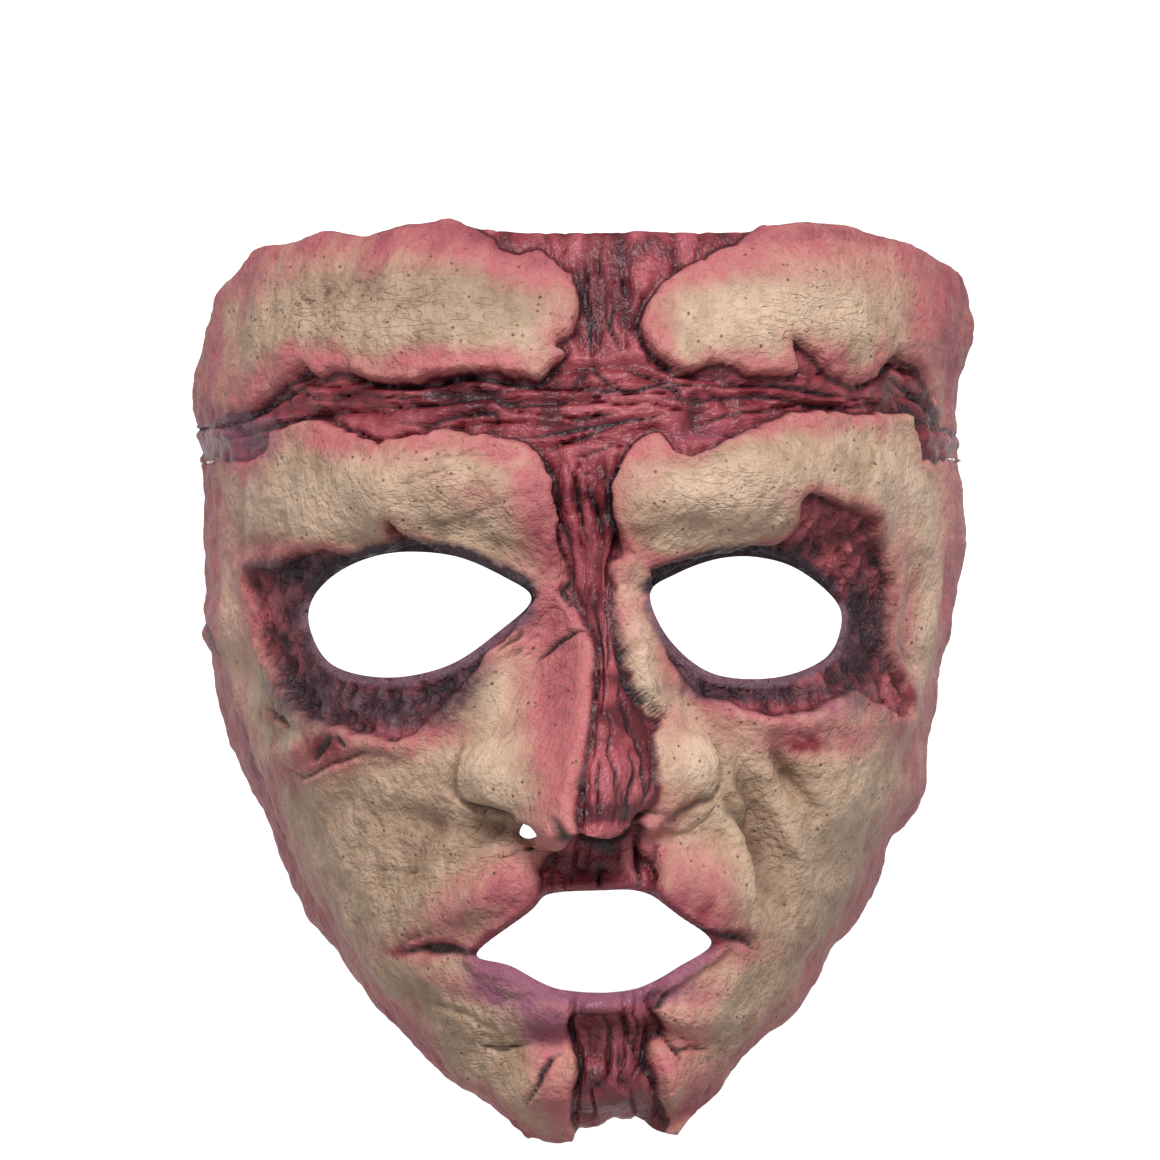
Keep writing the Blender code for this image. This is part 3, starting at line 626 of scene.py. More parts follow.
def stretch_gap(place, start, end):
    """Squared distance of places from a straight stretch, and how far along it each one is."""
    run = end - start
    offset = place - start
    share = np.clip(offset @ run / (run @ run), 0.0, 1.0)
    gap = offset - share[..., None] * run
    return (gap**2).sum(axis=-1), share


def outline_distance(place, ring):
    """Distance from a closed outline, plus inside and minus outside, in the outline's own units.
    A place is inside where a level line from it crosses the outline an odd number of times."""
    least = np.full(place.shape[:-1], np.inf)
    inside = np.zeros(place.shape[:-1], dtype=bool)
    for start, end in zip(ring, np.roll(ring, -1, axis=0)):
        least = np.minimum(least, stretch_gap(place, start, end)[0])
        if start[1] != end[1]:
            crosses = (start[1] > place[..., 1]) != (end[1] > place[..., 1])
            slope = (end[0] - start[0]) / (end[1] - start[1])
            inside ^= crosses & (place[..., 0] < start[0] + (place[..., 1] - start[1]) * slope)
    return np.where(inside, 1.0, -1.0) * np.sqrt(least)


def random_cell(cell_across, cell_up, seed):
    """A number from 0 to 1 for each cell of a grid, the same on every run."""
    mixed = np.sin(cell_across * 127.1 + cell_up * 311.7 + seed * 74.7) * 43758.5453
    return mixed - np.floor(mixed)


def cloud(across, up, seed):
    """Smooth noise from -1 to 1: random heights at the corners of unit cells, eased between."""
    left, low = np.floor(across), np.floor(up)
    right_share, high_share = ease(across - left), ease(up - low)
    below = random_cell(left, low, seed) * (1.0 - right_share)
    below = below + random_cell(left + 1.0, low, seed) * right_share
    above = random_cell(left, low + 1.0, seed) * (1.0 - right_share)
    above = above + random_cell(left + 1.0, low + 1.0, seed) * right_share
    return 2.0 * (below * (1.0 - high_share) + above * high_share) - 1.0


def clouds(across, up, seed, layers):
    """Clouds of halving size and halving strength, added up."""
    total = np.zeros_like(across)
    for layer in range(layers):
        total += cloud(across * 2.0**layer, up * 2.0**layer, seed + layer) / 2.0**layer
    return total


# The wound's strands: width and length of their waves in millimetres, in the level band, on the
# nose and at the chin.
BAND_STRAND = (2.3, 19.0)
NOSE_STRAND = (2.0, 26.0)
CHIN_STRAND = (2.2, 9.0)
STRAND_BEND = 1.6

# Places and heights down the picture, in picture points: the wound's level band with its fade, the
# forehead's lower end, and the stretch of the nose.
BAND_CENTRE = 402
BAND_HALF = 62
BAND_FADE = 26
FOREHEAD_END = 560
NOSE_TOP = 560
NOSE_BASE = 846


def strand_gap(sheet, strand, level, seed):
    """Distance in millimetres from the furrows between long wavy strands, level or upright: the
    lines where a stretched and bent cloud is nought."""
    across, up = sheet[..., 0] * POINT_MM, -sheet[..., 1] * POINT_MM
    bend = STRAND_BEND * clouds(across / 11.0, up / 11.0, seed, 2)
    bend = bend + 0.4 * cloud(across / 3.0, up / 3.0, seed + 3)
    width, length = strand
    if level:
        wave = cloud((across + bend) / length, (up + bend) / width, seed)
    else:
        wave = cloud((across + bend) / width, (up + bend) / length, seed)
    return np.abs(wave) * width * 0.55


LINE_EXTRA = 0.12


def crease_marks(sheet, table):
    """Depth and paint of drawn creases: a bell across each line that tapers to its ends, with a
    low lip on both sides."""
    depth_sum = np.zeros(sheet.shape[:-1])
    dark_sum = np.zeros(sheet.shape[:-1])
    across, up = sheet[..., 0] * POINT_MM, -sheet[..., 1] * POINT_MM
    shake = np.stack([cloud(across / 2.2, up / 2.2, 61), cloud(across / 2.2, up / 2.2, 62)], axis=-1)
    place = sheet + shake * (0.35 / POINT_MM)
    for width, depth, dark, points in table["rows"]:
        line = np.array(points, dtype=float)
        reach = 4.0 * width / POINT_MM
        box = (place > line.min(axis=0) - reach) & (place < line.max(axis=0) + reach)
        near = box.all(axis=-1)
        least = np.full(near.sum(), np.inf)
        along = np.zeros(near.sum())
        for number, (start, end) in enumerate(zip(line[:-1], line[1:])):
            gap, share = stretch_gap(place[near], start, end)
            along = np.where(gap < least, (number + share) / (len(line) - 1), along)
            least = np.minimum(least, gap)
        taper = np.clip(4.0 * along * (1.0 - along), 0.0, 1.0) ** 0.5
        off = np.sqrt(least) * POINT_MM / ((width + LINE_EXTRA) * (0.4 + 0.6 * taper))
        depth_sum[near] += depth * taper * (np.exp(-(off**2)) - 0.3 * np.exp(-((off - 2.0) ** 2)))
        dark_sum[near] = np.maximum(dark_sum[near], dark * (0.3 + 0.7 * taper) * np.exp(-(off**2)))
    return depth_sum, dark_sum


def skin_marks(sheet, around):
    """What lies at each place of the picture, in millimetres: how far inside the skin pads it is, how
    far outside the eye rings, how far from a crack of the wound, and the creases."""
    up = -sheet[..., 1] * POINT_MM
    ragged = 0.55 * clouds(around / 3.6, up / 3.6, 11, 3)
    pad = np.max([outline_distance(sheet, closed_curve(edge, 3)) for edge in PADS], axis=0)
    ring = np.max([outline_distance(sheet, closed_curve(edge, 3)) for edge in EYE_RINGS], axis=0)
    level = ease((BAND_HALF - np.abs(sheet[..., 1] - BAND_CENTRE)) / BAND_FADE)
    low = ease((sheet[..., 1] - NOSE_BASE) / 6.0)
    on_nose = ease((sheet[..., 1] - NOSE_TOP) / 60.0)
    upright = (strand_gap(sheet, NOSE_STRAND, False, 31) + 0.4 * on_nose) * (1.0 - low)
    upright = upright + strand_gap(sheet, CHIN_STRAND, False, 37) * low
    crack = strand_gap(sheet, BAND_STRAND, True, 41) * level + upright * (1.0 - level)
    depth, dark = crease_marks(sheet, CREASES)
    crack_depth, crack_dark = crease_marks(sheet, CRACKS)
    return {
        "pad": pad * POINT_MM + ragged,
        "ring": -ring * POINT_MM + ragged,
        "crack": crack,
        "crease_depth": depth + crack_depth,
        "crease": np.maximum(dark, crack_dark),
    }


def hole_distance(point):
    """Distance outside the rims of the eye and mouth holes, seen along Y, in millimetres."""
    place = np.stack([point[..., 0], point[..., 2]], axis=-1) / MM
    nearest = np.full(point.shape[:-1], np.inf)
    for _, outline, _ in HOLES:
        ring = closed_curve(outline, 3)
        ring = np.stack([ring[:, 0] * HALF_WIDTH, (ring[:, 1] - EYE_LINE) * MASK_HEIGHT], axis=-1)
        nearest = np.minimum(nearest, -outline_distance(place, ring / MM))
    return nearest


# Heights and depths of the skin's relief in millimetres.
WOUND_DEPTH = 2.4
RIM_WOUND_DEPTH = 0.3
PAD_PILLOW = 1.4
PAD_ROLL = 0.6
PAD_FOOT = 0.6
STRAND_HEIGHT = 0.75
CRACK_CUT = 0.4
WOUND_LUMPS = 0.45
RING_DEPTH = 2.2
RING_BROW = 1.2
HOLE_LIP = 0.8
HOLE_ROUND = 1.4
SKIN_GRAIN = 0.20
BROW_LINES = 0.12
RIM_ROUND = 0.7
LEAST_WALL = 1.4
MOST_EXTRA_WALL = 8.0
STAPLE_DENT = 0.15
DENT_MARGIN = 3.0 * MM


def flow(point):
    """Millimetres round the face: across the front, then back along the flanks."""
    return (point[..., 0] + point[..., 1] * np.tanh(point[..., 0] / (20.0 * MM))) / MM


def fold_height(sheet):
    """Height of the small folds and lumps in millimetres."""
    height = np.zeros(sheet.shape[:-1])
    for centre_across, centre_down, wide, high, turn, out in FOLDS["rows"]:
        height = height + out * bell(
            sheet[..., 0] - centre_across, centre_down - sheet[..., 1], wide, high, turn
        )
    return height


def flesh_height(across, up):
    """Height of the torn flesh's crumbs in millimetres."""
    return 0.9 * clouds(across / 2.6, up / 2.6, 71, 2) + 0.6 * cloud(across / 6.0, up / 4.0, 75)


def lump_height(across, up):
    """Height of the uneven modelling of the pads in millimetres."""
    lumps = 0.55 * cloud(across / 13.0, up / 11.0, 97) + 0.35 * cloud(across / 6.0, up / 5.0, 99)
    return lumps + 0.16 * cloud(across / 3.0, up / 3.0, 103)


def relief(sheet, across, marks, hole, off_rim):
    """Height of the skin over its form in millimetres: pads rise like pillows from the wound, the
    wound and the eye rings lie sunk, strands and lumps stand in them, and hole rims are rounded."""
    up = -sheet[..., 1] * POINT_MM
    pad, ring, crack = marks["pad"], marks["ring"], marks["crack"]
    on_pad = ease(pad / 1.1 + 0.4)
    in_ring = ease(-ring / 1.4 + 0.5)
    sink = RIM_WOUND_DEPTH + (WOUND_DEPTH - RIM_WOUND_DEPTH) * off_rim
    pillow = PAD_PILLOW * (1.0 - np.exp(-np.clip(pad, 0.0, None) / 2.6)) * on_pad
    pillow = pillow * (0.75 + 0.45 * cloud(across / 12.0, up / 9.0, 81))
    rolled = PAD_ROLL * np.exp(-(((pad - 1.5) / 1.0) ** 2)) * (0.6 + cloud(across / 6.0, up / 6.0, 85))
    foot = PAD_FOOT * np.exp(-(((pad + 0.9) / 0.8) ** 2)) * off_rim
    strand = STRAND_HEIGHT * ease(crack / 0.7) - CRACK_CUT * np.exp(-((crack / 0.14) ** 2))
    strand = strand + WOUND_LUMPS * clouds(across / 4.0, up / 4.0, 51, 2)
    height = (pillow + rolled) * (0.25 + 0.75 * off_rim) * on_pad
    height = height + (strand - sink - foot) * (1.0 - on_pad)
    brow = RING_BROW * np.exp(-(((ring - 1.5) / 1.9) ** 2)) * on_pad
    height = height + brow + (flesh_height(across, up) - RING_DEPTH) * in_ring * on_pad
    lip = HOLE_LIP * np.exp(-(((hole - 1.4) / 0.9) ** 2))
    height = height + lip - HOLE_ROUND * (1.0 - ease(hole / 1.5)) ** 2 + fold_height(sheet)
    brow_lines = cloud(across / 6.0, up / 0.9 + 0.8 * cloud(across / 5.0, up / 5.0, 92), 91)
    forehead = ease((FOREHEAD_END - sheet[..., 1]) / 20.0)
    grain = SKIN_GRAIN * clouds(across / 2.4, up / 2.4, 95, 3) + BROW_LINES * brow_lines * forehead
    return height + (grain + lump_height(across, up)) * on_pad - marks["crease_depth"]


def shell_mesh(name, outer, inner, sheet):
    """A closed shell from a fine outer net and a coarse inner net. Triangles join their rims, where
    one inner step faces several outer ones."""
    rows, columns = outer.shape[:2]
    inner_rows, inner_columns = inner.shape[:2]

    def quads(net_row_count, net_column_count, first, flip):
        corner = np.arange((net_row_count - 1) * net_column_count)
        corner = corner.reshape(net_row_count - 1, net_column_count)[:, :-1] + first
        ring = [corner, corner + 1, corner + net_column_count + 1, corner + net_column_count]
        return np.stack(ring[::-1] if flip else ring, axis=-1).reshape(-1, 4)

    def rim(net_row_count, net_column_count, first):
        place = np.arange(net_row_count * net_column_count).reshape(net_row_count, -1) + first
        sides = [place[0, :-1], place[:-1, -1], place[-1, :0:-1], place[:0:-1, 0]]
        return np.concatenate(sides)

    outer_rim = rim(rows, columns, 0)
    inner_rim = rim(inner_rows, inner_columns, rows * columns)
    start, after = inner_rim, np.roll(inner_rim, -1)
    steps = [np.roll(outer_rim, -step)[::INNER_STEP] for step in range(INNER_STEP + 1)]
    joint = np.concatenate(
        [
            np.stack([steps[1], steps[0], start], axis=-1),
            np.stack([steps[1], start, after], axis=-1),
            np.stack([steps[2], steps[1], after], axis=-1),
            np.stack([steps[3], steps[2], after], axis=-1),
        ]
    )
    outer_faces = quads(rows, columns, 0, False)
    inner_faces = quads(inner_rows, inner_columns, rows * columns, True)
    points = np.concatenate([outer.reshape(-1, 3), inner.reshape(-1, 3)])
    mesh = bpy.data.meshes.new(name)
    mesh.from_pydata(
        points.tolist(), [], outer_faces.tolist() + joint.tolist() + inner_faces.tolist()
    )
    mesh.materials.append(painted_latex)
    mesh.materials.append(bare_latex)
    inside = np.zeros(len(mesh.polygons), dtype=np.int32)
    inside[len(outer_faces) + len(joint):] = 1
    mesh.polygons.foreach_set("material_index", inside)
    places = np.concatenate([sheet.reshape(-1, 2), sheet[::INNER_STEP, ::INNER_STEP].reshape(-1, 2)])
    vertex = np.empty(len(mesh.loops), dtype=np.int32)
    mesh.loops.foreach_get("vertex_index", vertex)
    layer = mesh.uv_layers.new(name="picture")
    layer.data.foreach_set("uv", (places[vertex] / PICTURE).astype(np.float32).ravel())
    mesh.update()
    return mesh


def new_object(name, mesh):
    """An object in the scene, at the origin, with no scale or turn."""
    item = bpy.data.objects.new(name, mesh)
    bpy.context.scene.collection.objects.link(item)
    return item


def prism_cutter(name, outline, reach):
    """A hole's outline, across and up, carried straight along Y."""
    body = bmesh.new()
    corners = [
        body.verts.new((across * HALF_WIDTH, reach[0] * WRAP_DEPTH, (up - EYE_LINE) * MASK_HEIGHT))
        for across, up in closed_curve(outline, 8)
    ]
    face = body.faces.new(corners)
    carried = bmesh.ops.extrude_face_region(body, geom=[face])["geom"]
    moved = [part for part in carried if isinstance(part, bmesh.types.BMVert)]
    bmesh.ops.translate(body, verts=moved, vec=(0.0, (reach[1] - reach[0]) * WRAP_DEPTH, 0.0))
    bmesh.ops.recalc_face_normals(body, faces=body.faces)
    mesh = bpy.data.meshes.new(name)
    body.to_mesh(mesh)
    body.free()
    return new_object(name, mesh)


# Sizes of the strap and the staples, whose legs need their holes in the skin.
STRAP_UP = 0.748
STRAP_WIDTH = 20.0 * MM
STRAP_THICKNESS = 1.2 * MM
STRAP_TAIL = 7.0 * MM
STAPLE_CROWN = 13.0 * MM
STAPLE_WIRE = 0.6 * MM
STAPLE_FROM_RIM = 7.0 * MM
STRAP_OVERLAP = STAPLE_FROM_RIM + STAPLE_CROWN + STRAP_TAIL
GAP = 0.3 * MM
LEG_HOLE_LENGTH = 10.0 * MM
LEG_HOLE_SIDES = 16


def rim_walk(side, up_net):
    """Net places along a level section, from the side rim inwards, and the distance walked to each."""
    across_net = side * np.linspace(1.0, 0.5, 200)
    points = base_point(across_net, np.full_like(across_net, up_net))
    steps = np.linalg.norm(np.diff(points, axis=0), axis=1)
    return across_net, np.concatenate([[0.0], np.cumsum(steps)])


def staple_legs(side):
    """Where a staple's two legs pass through the skin, and the way out of it between them."""
    stations = np.array([STAPLE_FROM_RIM, STAPLE_FROM_RIM + STAPLE_CROWN])
    across_net, walked = rim_walk(side, STRAP_UP)
    places = np.interp(stations, walked, across_net)
    level = np.full_like(places, STRAP_UP)
    legs = form_point(places, level)
    along = (legs[1] - legs[0]) / np.linalg.norm(legs[1] - legs[0])
    outward = base_normal(places, level).mean(axis=0)
    outward = outward - along * np.dot(outward, along)
    return legs, outward / np.linalg.norm(outward)


def leg_cutters(side):
    """A round hole for each leg of a staple, square to the skin."""
    legs, outward = staple_legs(side)
    cutters = []
    for number, leg in enumerate(legs):
        body = bmesh.new()
        bmesh.ops.create_cone(
            body, cap_ends=True, segments=LEG_HOLE_SIDES, radius1=STAPLE_WIRE / 2.0 + GAP,
            radius2=STAPLE_WIRE / 2.0 + GAP, depth=LEG_HOLE_LENGTH,
        )
        mesh = bpy.data.meshes.new("leg_hole")
        body.to_mesh(mesh)
        body.free()
        cutter = new_object("leg_hole_%d_%d" % (side, number), mesh)
        turn = np.cross((0.0, 0.0, 1.0), outward)
        level_part = np.hypot(outward[0], outward[1])
        cutter.rotation_mode = "AXIS_ANGLE"
        angle = np.arctan2(level_part, outward[2])
        cutter.rotation_axis_angle = (angle, *turn / np.linalg.norm(turn))
        cutter.location = leg
        cutters.append(cutter)
    return cutters


def cut_out(item, cutters):
    """The object's mesh with every cutter's shape taken out of it."""
    for cutter in cutters:
        modifier = item.modifiers.new(cutter.name, "BOOLEAN")
        modifier.operation = "DIFFERENCE"
        modifier.solver = "MANIFOLD"
        modifier.object = cutter
    bpy.context.view_layer.update()
    cut_item = item.evaluated_get(bpy.context.evaluated_depsgraph_get())
    mesh = bpy.data.meshes.new_from_object(cut_item)
    item.modifiers.clear()
    for cutter in cutters:
        bpy.data.objects.remove(cutter)
    return mesh


across_net, up_net = np.meshgrid(np.linspace(-1.0, 1.0, COLUMNS + 1), net_rows())
form = form_point(across_net, up_net)
sheet = on_picture(form)
normal = net_normal(form)
marks = skin_marks(sheet, flow(form))
off_rim = ease((SEAT_TURN - turn_share(across_net)) / SEAT_FADE)
height = relief(sheet, flow(form), marks, hole_distance(form), off_rim)
# The skin is flat and a little pressed in under each staple, and less deep along the top edge.
staple_reach = STAPLE_FROM_RIM + np.array([-DENT_MARGIN, STAPLE_CROWN + DENT_MARGIN])
place, walked = rim_walk(1.0, STRAP_UP)
near_rim, far_in = np.interp(staple_reach, walked, place)
on_staple = ease((np.abs(across_net) - far_in) / 0.01) * ease((near_rim - np.abs(across_net)) / 0.01)
on_staple = on_staple * ease(2.2 - np.abs(up_net - STRAP_UP) * MASK_HEIGHT / (2.0 * MM))
height = height * (1.0 - on_staple) - STAPLE_DENT * on_staple
side_step = (1.0 - np.abs(across_net)) * COLUMNS / 2.0
end_step = np.minimum(1.0 - up_net, up_net) * ROWS
rim_fall = 1.0 - ease(np.minimum(side_step, end_step) / 2.5)
top_hold = 1.0 - 0.6 * ease((up_net - 0.93) / 0.06)
height = np.where(height < 0.0, height * top_hold, height)
outer = form + normal * ((height - RIM_ROUND * rim_fall) * MM)[..., None]

# The inner face keeps under the lowest place near each of its points, so no crease cuts through.
lowest = height
for axis in (0, 1):
    shifted = [np.roll(lowest, step, axis=axis) for step in range(-INNER_STEP, INNER_STEP + 1)]
    lowest = np.min(shifted, axis=0)
depth = np.maximum(LATEX_WALL / MM, LEAST_WALL - lowest)
depth = np.minimum(depth, LATEX_WALL / MM + MOST_EXTRA_WALL * off_rim)
inner = (form - normal * (depth * MM)[..., None])[::INNER_STEP, ::INNER_STEP]

painted_latex = bpy.data.materials.new("painted_latex_skin")
bare_latex = bpy.data.materials.new("bare_latex_inside")
face_skin = new_object("face_skin", shell_mesh("face_skin", outer, inner, sheet))
cutters = [prism_cutter("hole_" + name, outline, reach) for name, outline, reach in HOLES]
cutters += leg_cutters(-1.0) + leg_cutters(1.0)
face_skin.data = cut_out(face_skin, cutters)
face_skin.data.name = "face_skin"


# Paint of the face skin
# The latex is painted by hand: airbrushed pink and cream over a tan ground, crimson in the wound,
# black in the cracks, purple round the eyes. Part of the paint is painted light: painted shade in the
# cracks, creases, folds and hollows and under the pads' edges, and painted highlights on raised places.

# Each pass is a bell in picture points: its place across and down, its width and height, its turn in
# degrees and its strength. Brown passes lay brown paint and painted shade, and pale ones cream paint
# and painted highlight. Clean passes wipe the pink and the dark wash and painted shade off again, and
# worn ones say where the skin is finely wrinkled.
PAINT = {
    "pink": (
        (250, 280, 50, 24, 10, 0.7), (214, 360, 26, 60, 0, 0.8), (262, 385, 50, 16, 20, 0.6),
        (400, 240, 150, 16, 0, 0.9), (540, 275, 44, 24, -20, 0.8), (562, 330, 20, 40, 0, 0.8),
        (440, 362, 120, 13, 0, 0.9), (660, 320, 20, 50, -10, 0.7), (720, 264, 50, 18, 12, 0.8),
        (820, 246, 130, 15, 0, 0.8), (935, 320, 32, 100, 0, 1.0), (880, 270, 40, 30, 0, 0.5),
        (760, 364, 70, 10, -4, 0.5), (330, 438, 80, 16, 0, 0.9), (480, 447, 80, 15, -6, 0.9),
        (540, 500, 22, 50, 10, 0.9), (552, 600, 24, 70, 4, 0.9), (560, 740, 24, 100, 0, 1.0),
        (540, 690, 36, 60, 0, 0.5), (520, 640, 30, 30, 0, 0.6), (548, 830, 24, 20, -30, 0.9),
        (330, 548, 90, 10, 4, 0.7), (470, 565, 60, 10, -24, 0.7), (270, 555, 26, 26, 0, 0.6),
        (650, 470, 18, 40, 0, 0.5), (700, 436, 70, 12, 0, 0.7), (790, 424, 60, 8, 0, 0.6),
        (710, 548, 70, 9, 10, 0.8), (800, 490, 44, 8, 0, 0.6), (214, 560, 20, 130, 0, 1.0),
        (948, 570, 16, 90, 0, 0.8), (250, 620, 10, 70, 0, 0.6), (246, 740, 12, 80, 14, 0.8),
        (300, 880, 22, 90, 24, 0.8), (400, 1020, 60, 14, -42, 0.8), (956, 540, 14, 130, 0, 0.8),
        (900, 600, 16, 90, 0, 0.8), (905, 800, 16, 90, -22, 0.8), (830, 960, 20, 60, -40, 0.7),
        (740, 1070, 40, 14, 45, 0.7), (330, 758, 70, 22, 12, 1.0), (440, 735, 40, 20, 20, 0.6),
        (815, 735, 90, 24, 0, 0.9), (720, 702, 50, 12, -20, 0.7), (485, 890, 60, 26, 28, 0.9),
        (520, 862, 26, 20, 0, 0.6), (690, 875, 32, 40, 0, 0.9), (710, 915, 34, 16, -30, 0.8),
        (735, 950, 40, 16, 0, 0.7), (430, 946, 50, 14, 0, 0.8), (462, 985, 40, 12, -30, 0.5),
        (690, 1000, 34, 16, 40, 0.8), (686, 1035, 20, 18, 0, 0.7), (552, 1065, 18, 50, 0, 0.9),
        (648, 600, 8, 60, 6, 0.5), (400, 254, 160, 22, 0, 0.6), (800, 262, 130, 24, 0, 0.6),
        (470, 492, 60, 14, -20, 0.4), (540, 470, 26, 40, 0, 0.6),
    ),
    "deep": (
        (400, 232, 180, 10, 0, 0.9), (420, 246, 130, 14, 0, 0.45), (545, 262, 50, 12, -20, 0.7),
        (574, 320, 10, 40, 0, 0.6), (820, 238, 150, 9, 0, 0.7), (950, 300, 18, 90, 0, 0.8),
        (545, 560, 20, 90, 6, 0.8), (562, 690, 14, 80, 0, 0.6), (205, 480, 16, 120, 0, 0.6),
        (262, 790, 12, 90, 14, 0.7), (310, 905, 16, 70, 26, 0.8), (400, 1030, 60, 10, -42, 0.7),
        (350, 755, 70, 14, 12, 0.6), (830, 735, 80, 14, 0, 0.5), (960, 560, 10, 130, 0, 0.6),
        (900, 830, 12, 80, -24, 0.6), (430, 945, 34, 8, 0, 0.7), (730, 936, 34, 10, 0, 0.8),
        (665, 890, 12, 40, 0, 0.7), (545, 1095, 26, 16, 0, 0.7), (690, 1100, 30, 16, 30, 0.7),
        (500, 912, 40, 8, 30, 0.5), (486, 908, 66, 24, 28, 0.8), (694, 900, 34, 34, -30, 0.8),
    ),
    # Brown passes: brown paint on the skin, and painted shade in the folds beside the nose and mouth, under
    # the nose wings and in the cheek hollows.
    "brown_and_shade": (
        (500, 290, 60, 26, 0, 0.35), (757, 850, 12, 70, 16, 0.9), (735, 800, 18, 30, 20, 0.6),
        (788, 768, 14, 34, 30, 0.9), (690, 796, 16, 12, 0, 0.7), (450, 800, 18, 34, 0, 0.5),
        (460, 826, 60, 14, -10, 0.6), (380, 850, 60, 50, 0, 0.3), (320, 800, 30, 34, 0, 0.4),
        (400, 935, 40, 30, 0, 0.5), (470, 1040, 60, 26, -20, 0.5), (420, 990, 40, 16, -30, 0.5),
        (715, 1055, 40, 26, 0, 0.5), (770, 960, 40, 30, 30, 0.5), (690, 1060, 14, 16, 0, 0.5),
        (410, 298, 110, 36, 0, 0.75), (500, 828, 40, 14, 20, 0.9), (450, 700, 26, 26, 0, 0.4),
        (480, 510, 60, 14, 0, 0.3), (720, 455, 40, 12, 14, 0.4), (700, 680, 30, 20, -30, 0.5),
        (860, 870, 24, 60, -24, 0.5), (800, 850, 20, 60, 0, 0.3), (655, 650, 7, 60, 14, 0.5),
        (480, 720, 20, 20, 0, 0.3), (330, 272, 60, 20, 0, 0.4), (520, 300, 40, 24, 0, 0.4),
        (790, 280, 60, 16, 0, 0.3),
    ),
    # Pale passes: cream paint, and painted highlight that lightens the brows, temples, nose wings and
    # cheeks.
    "pale": (
        (390, 305, 120, 34, 0, 0.8), (800, 310, 100, 32, 0, 0.8), (340, 500, 100, 28, 0, 0.9),
        (480, 520, 34, 20, 0, 0.7), (680, 525, 40, 16, 0, 0.6), (770, 490, 60, 20, 0, 0.6),
        (898, 490, 28, 70, 0, 1.0), (918, 680, 14, 60, -8, 0.8), (715, 500, 60, 28, 0, 0.8),
        (505, 715, 20, 60, 6, 0.6), (488, 780, 30, 24, 0, 0.6), (520, 815, 24, 10, -20, 0.9),
        (688, 765, 20, 36, 0, 1.0), (640, 660, 7, 70, 14, 1.0), (236, 640, 9, 110, 8, 1.0),
        (262, 760, 9, 50, 14, 0.8), (926, 600, 10, 130, -8, 0.9), (850, 780, 24, 60, -24, 0.6),
        (360, 880, 50, 60, 0, 0.35), (790, 850, 14, 60, 14, 0.5), (730, 1000, 30, 20, 30, 0.4),
    ),
    "bruise": (
        (292, 610, 26, 60, 10, 0.6), (320, 568, 60, 14, 0, 1.0), (420, 556, 60, 14, 0, 1.0),
        (505, 600, 36, 22, -40, 1.0), (310, 690, 36, 30, -30, 0.9), (390, 705, 70, 26, 0, 1.0),
        (460, 680, 36, 24, 40, 0.9), (812, 594, 20, 36, 0, 0.6), (864, 622, 20, 56, 0, 1.0),
        (800, 552, 40, 8, 30, 0.4), (720, 562, 70, 14, 6, 1.0), (760, 692, 100, 12, 0, 0.9),
        (852, 660, 18, 34, 0, 0.8), (662, 615, 16, 36, 30, 0.9), (690, 670, 34, 14, -40, 0.9),
        (300, 395, 36, 14, 0, 0.4),
    ),
    "crimson": (
        (265, 590, 16, 50, 0, 0.5), (828, 520, 44, 26, 0, 1.0), (880, 590, 10, 40, 0, 0.4),
        (892, 696, 18, 26, 0, 0.9), (560, 246, 80, 10, 0, 0.6), (805, 744, 22, 8, 0, 0.9),
        (330, 744, 24, 14, 0, 0.7), (275, 715, 22, 16, -30, 0.6), (714, 934, 34, 12, 8, 0.8),
        (690, 905, 20, 22, -40, 0.5), (404, 950, 14, 6, 0, 0.8),
    ),
    "mauve": (
        (590, 992, 100, 14, 0, 0.9), (510, 975, 30, 20, -40, 0.9), (545, 1020, 30, 26, -30, 0.9),
        (670, 975, 24, 12, 40, 0.8), (238, 436, 44, 24, 0, 0.8), (712, 430, 50, 10, 0, 0.4),
        (800, 708, 80, 12, 0, 0.6), (500, 985, 34, 18, -30, 0.9),
    ),
    # Clean passes wipe the pink and the dark wash and painted shade off the brows, nose wings, temples and
    # side strips.
    "clean": (
        (645, 700, 18, 90, 10, 0.95), (690, 768, 30, 40, 0, 0.9), (484, 778, 26, 30, 0, 0.9),
        (238, 640, 8, 110, 6, 0.9), (922, 600, 9, 120, -8, 0.9), (896, 490, 24, 70, 0, 0.95),
        (350, 500, 100, 22, 0, 0.8), (730, 484, 90, 26, 0, 0.7), (390, 320, 100, 24, 0, 0.5),
        (810, 320, 90, 26, 0, 0.6),
    ),
    "shade": (
        (612, 1060, 60, 90, 0, 1.0), (606, 1108, 70, 18, 0, 0.9), (605, 862, 50, 12, 0, 0.8),
        (600, 290, 36, 60, 0, 0.75), (445, 402, 110, 16, 0, 0.6), (592, 610, 18, 90, 0, 0.65),
        (652, 770, 10, 50, 0, 0.8), (650, 860, 14, 40, 0, 0.5),
    ),
    "worn": (
        (380, 310, 140, 44, 0, 1.0), (800, 320, 90, 50, 0, 0.9), (460, 500, 90, 40, 0, 1.0),
        (710, 490, 80, 44, 0, 0.9), (560, 660, 40, 70, 0, 0.7), (500, 850, 60, 40, 0, 1.0),
        (400, 880, 80, 60, 0, 0.6), (840, 860, 60, 60, 0, 0.6), (480, 1040, 70, 50, 0, 0.9),
        (720, 1050, 50, 40, 0, 0.8),
    ),
}


def paint_amount(name, sheet):
    """How much of one paint lies at each place: passes laid one over the other."""
    bare = np.ones(sheet.shape[:-1])
    for across, down, wide, high, turn, strength in PAINT[name]:
        gap_across, gap_up = sheet[..., 0] - across, down - sheet[..., 1]
        bare = bare * (1.0 - strength * bell(gap_across, gap_up, wide, high, turn))
    return 1.0 - bare


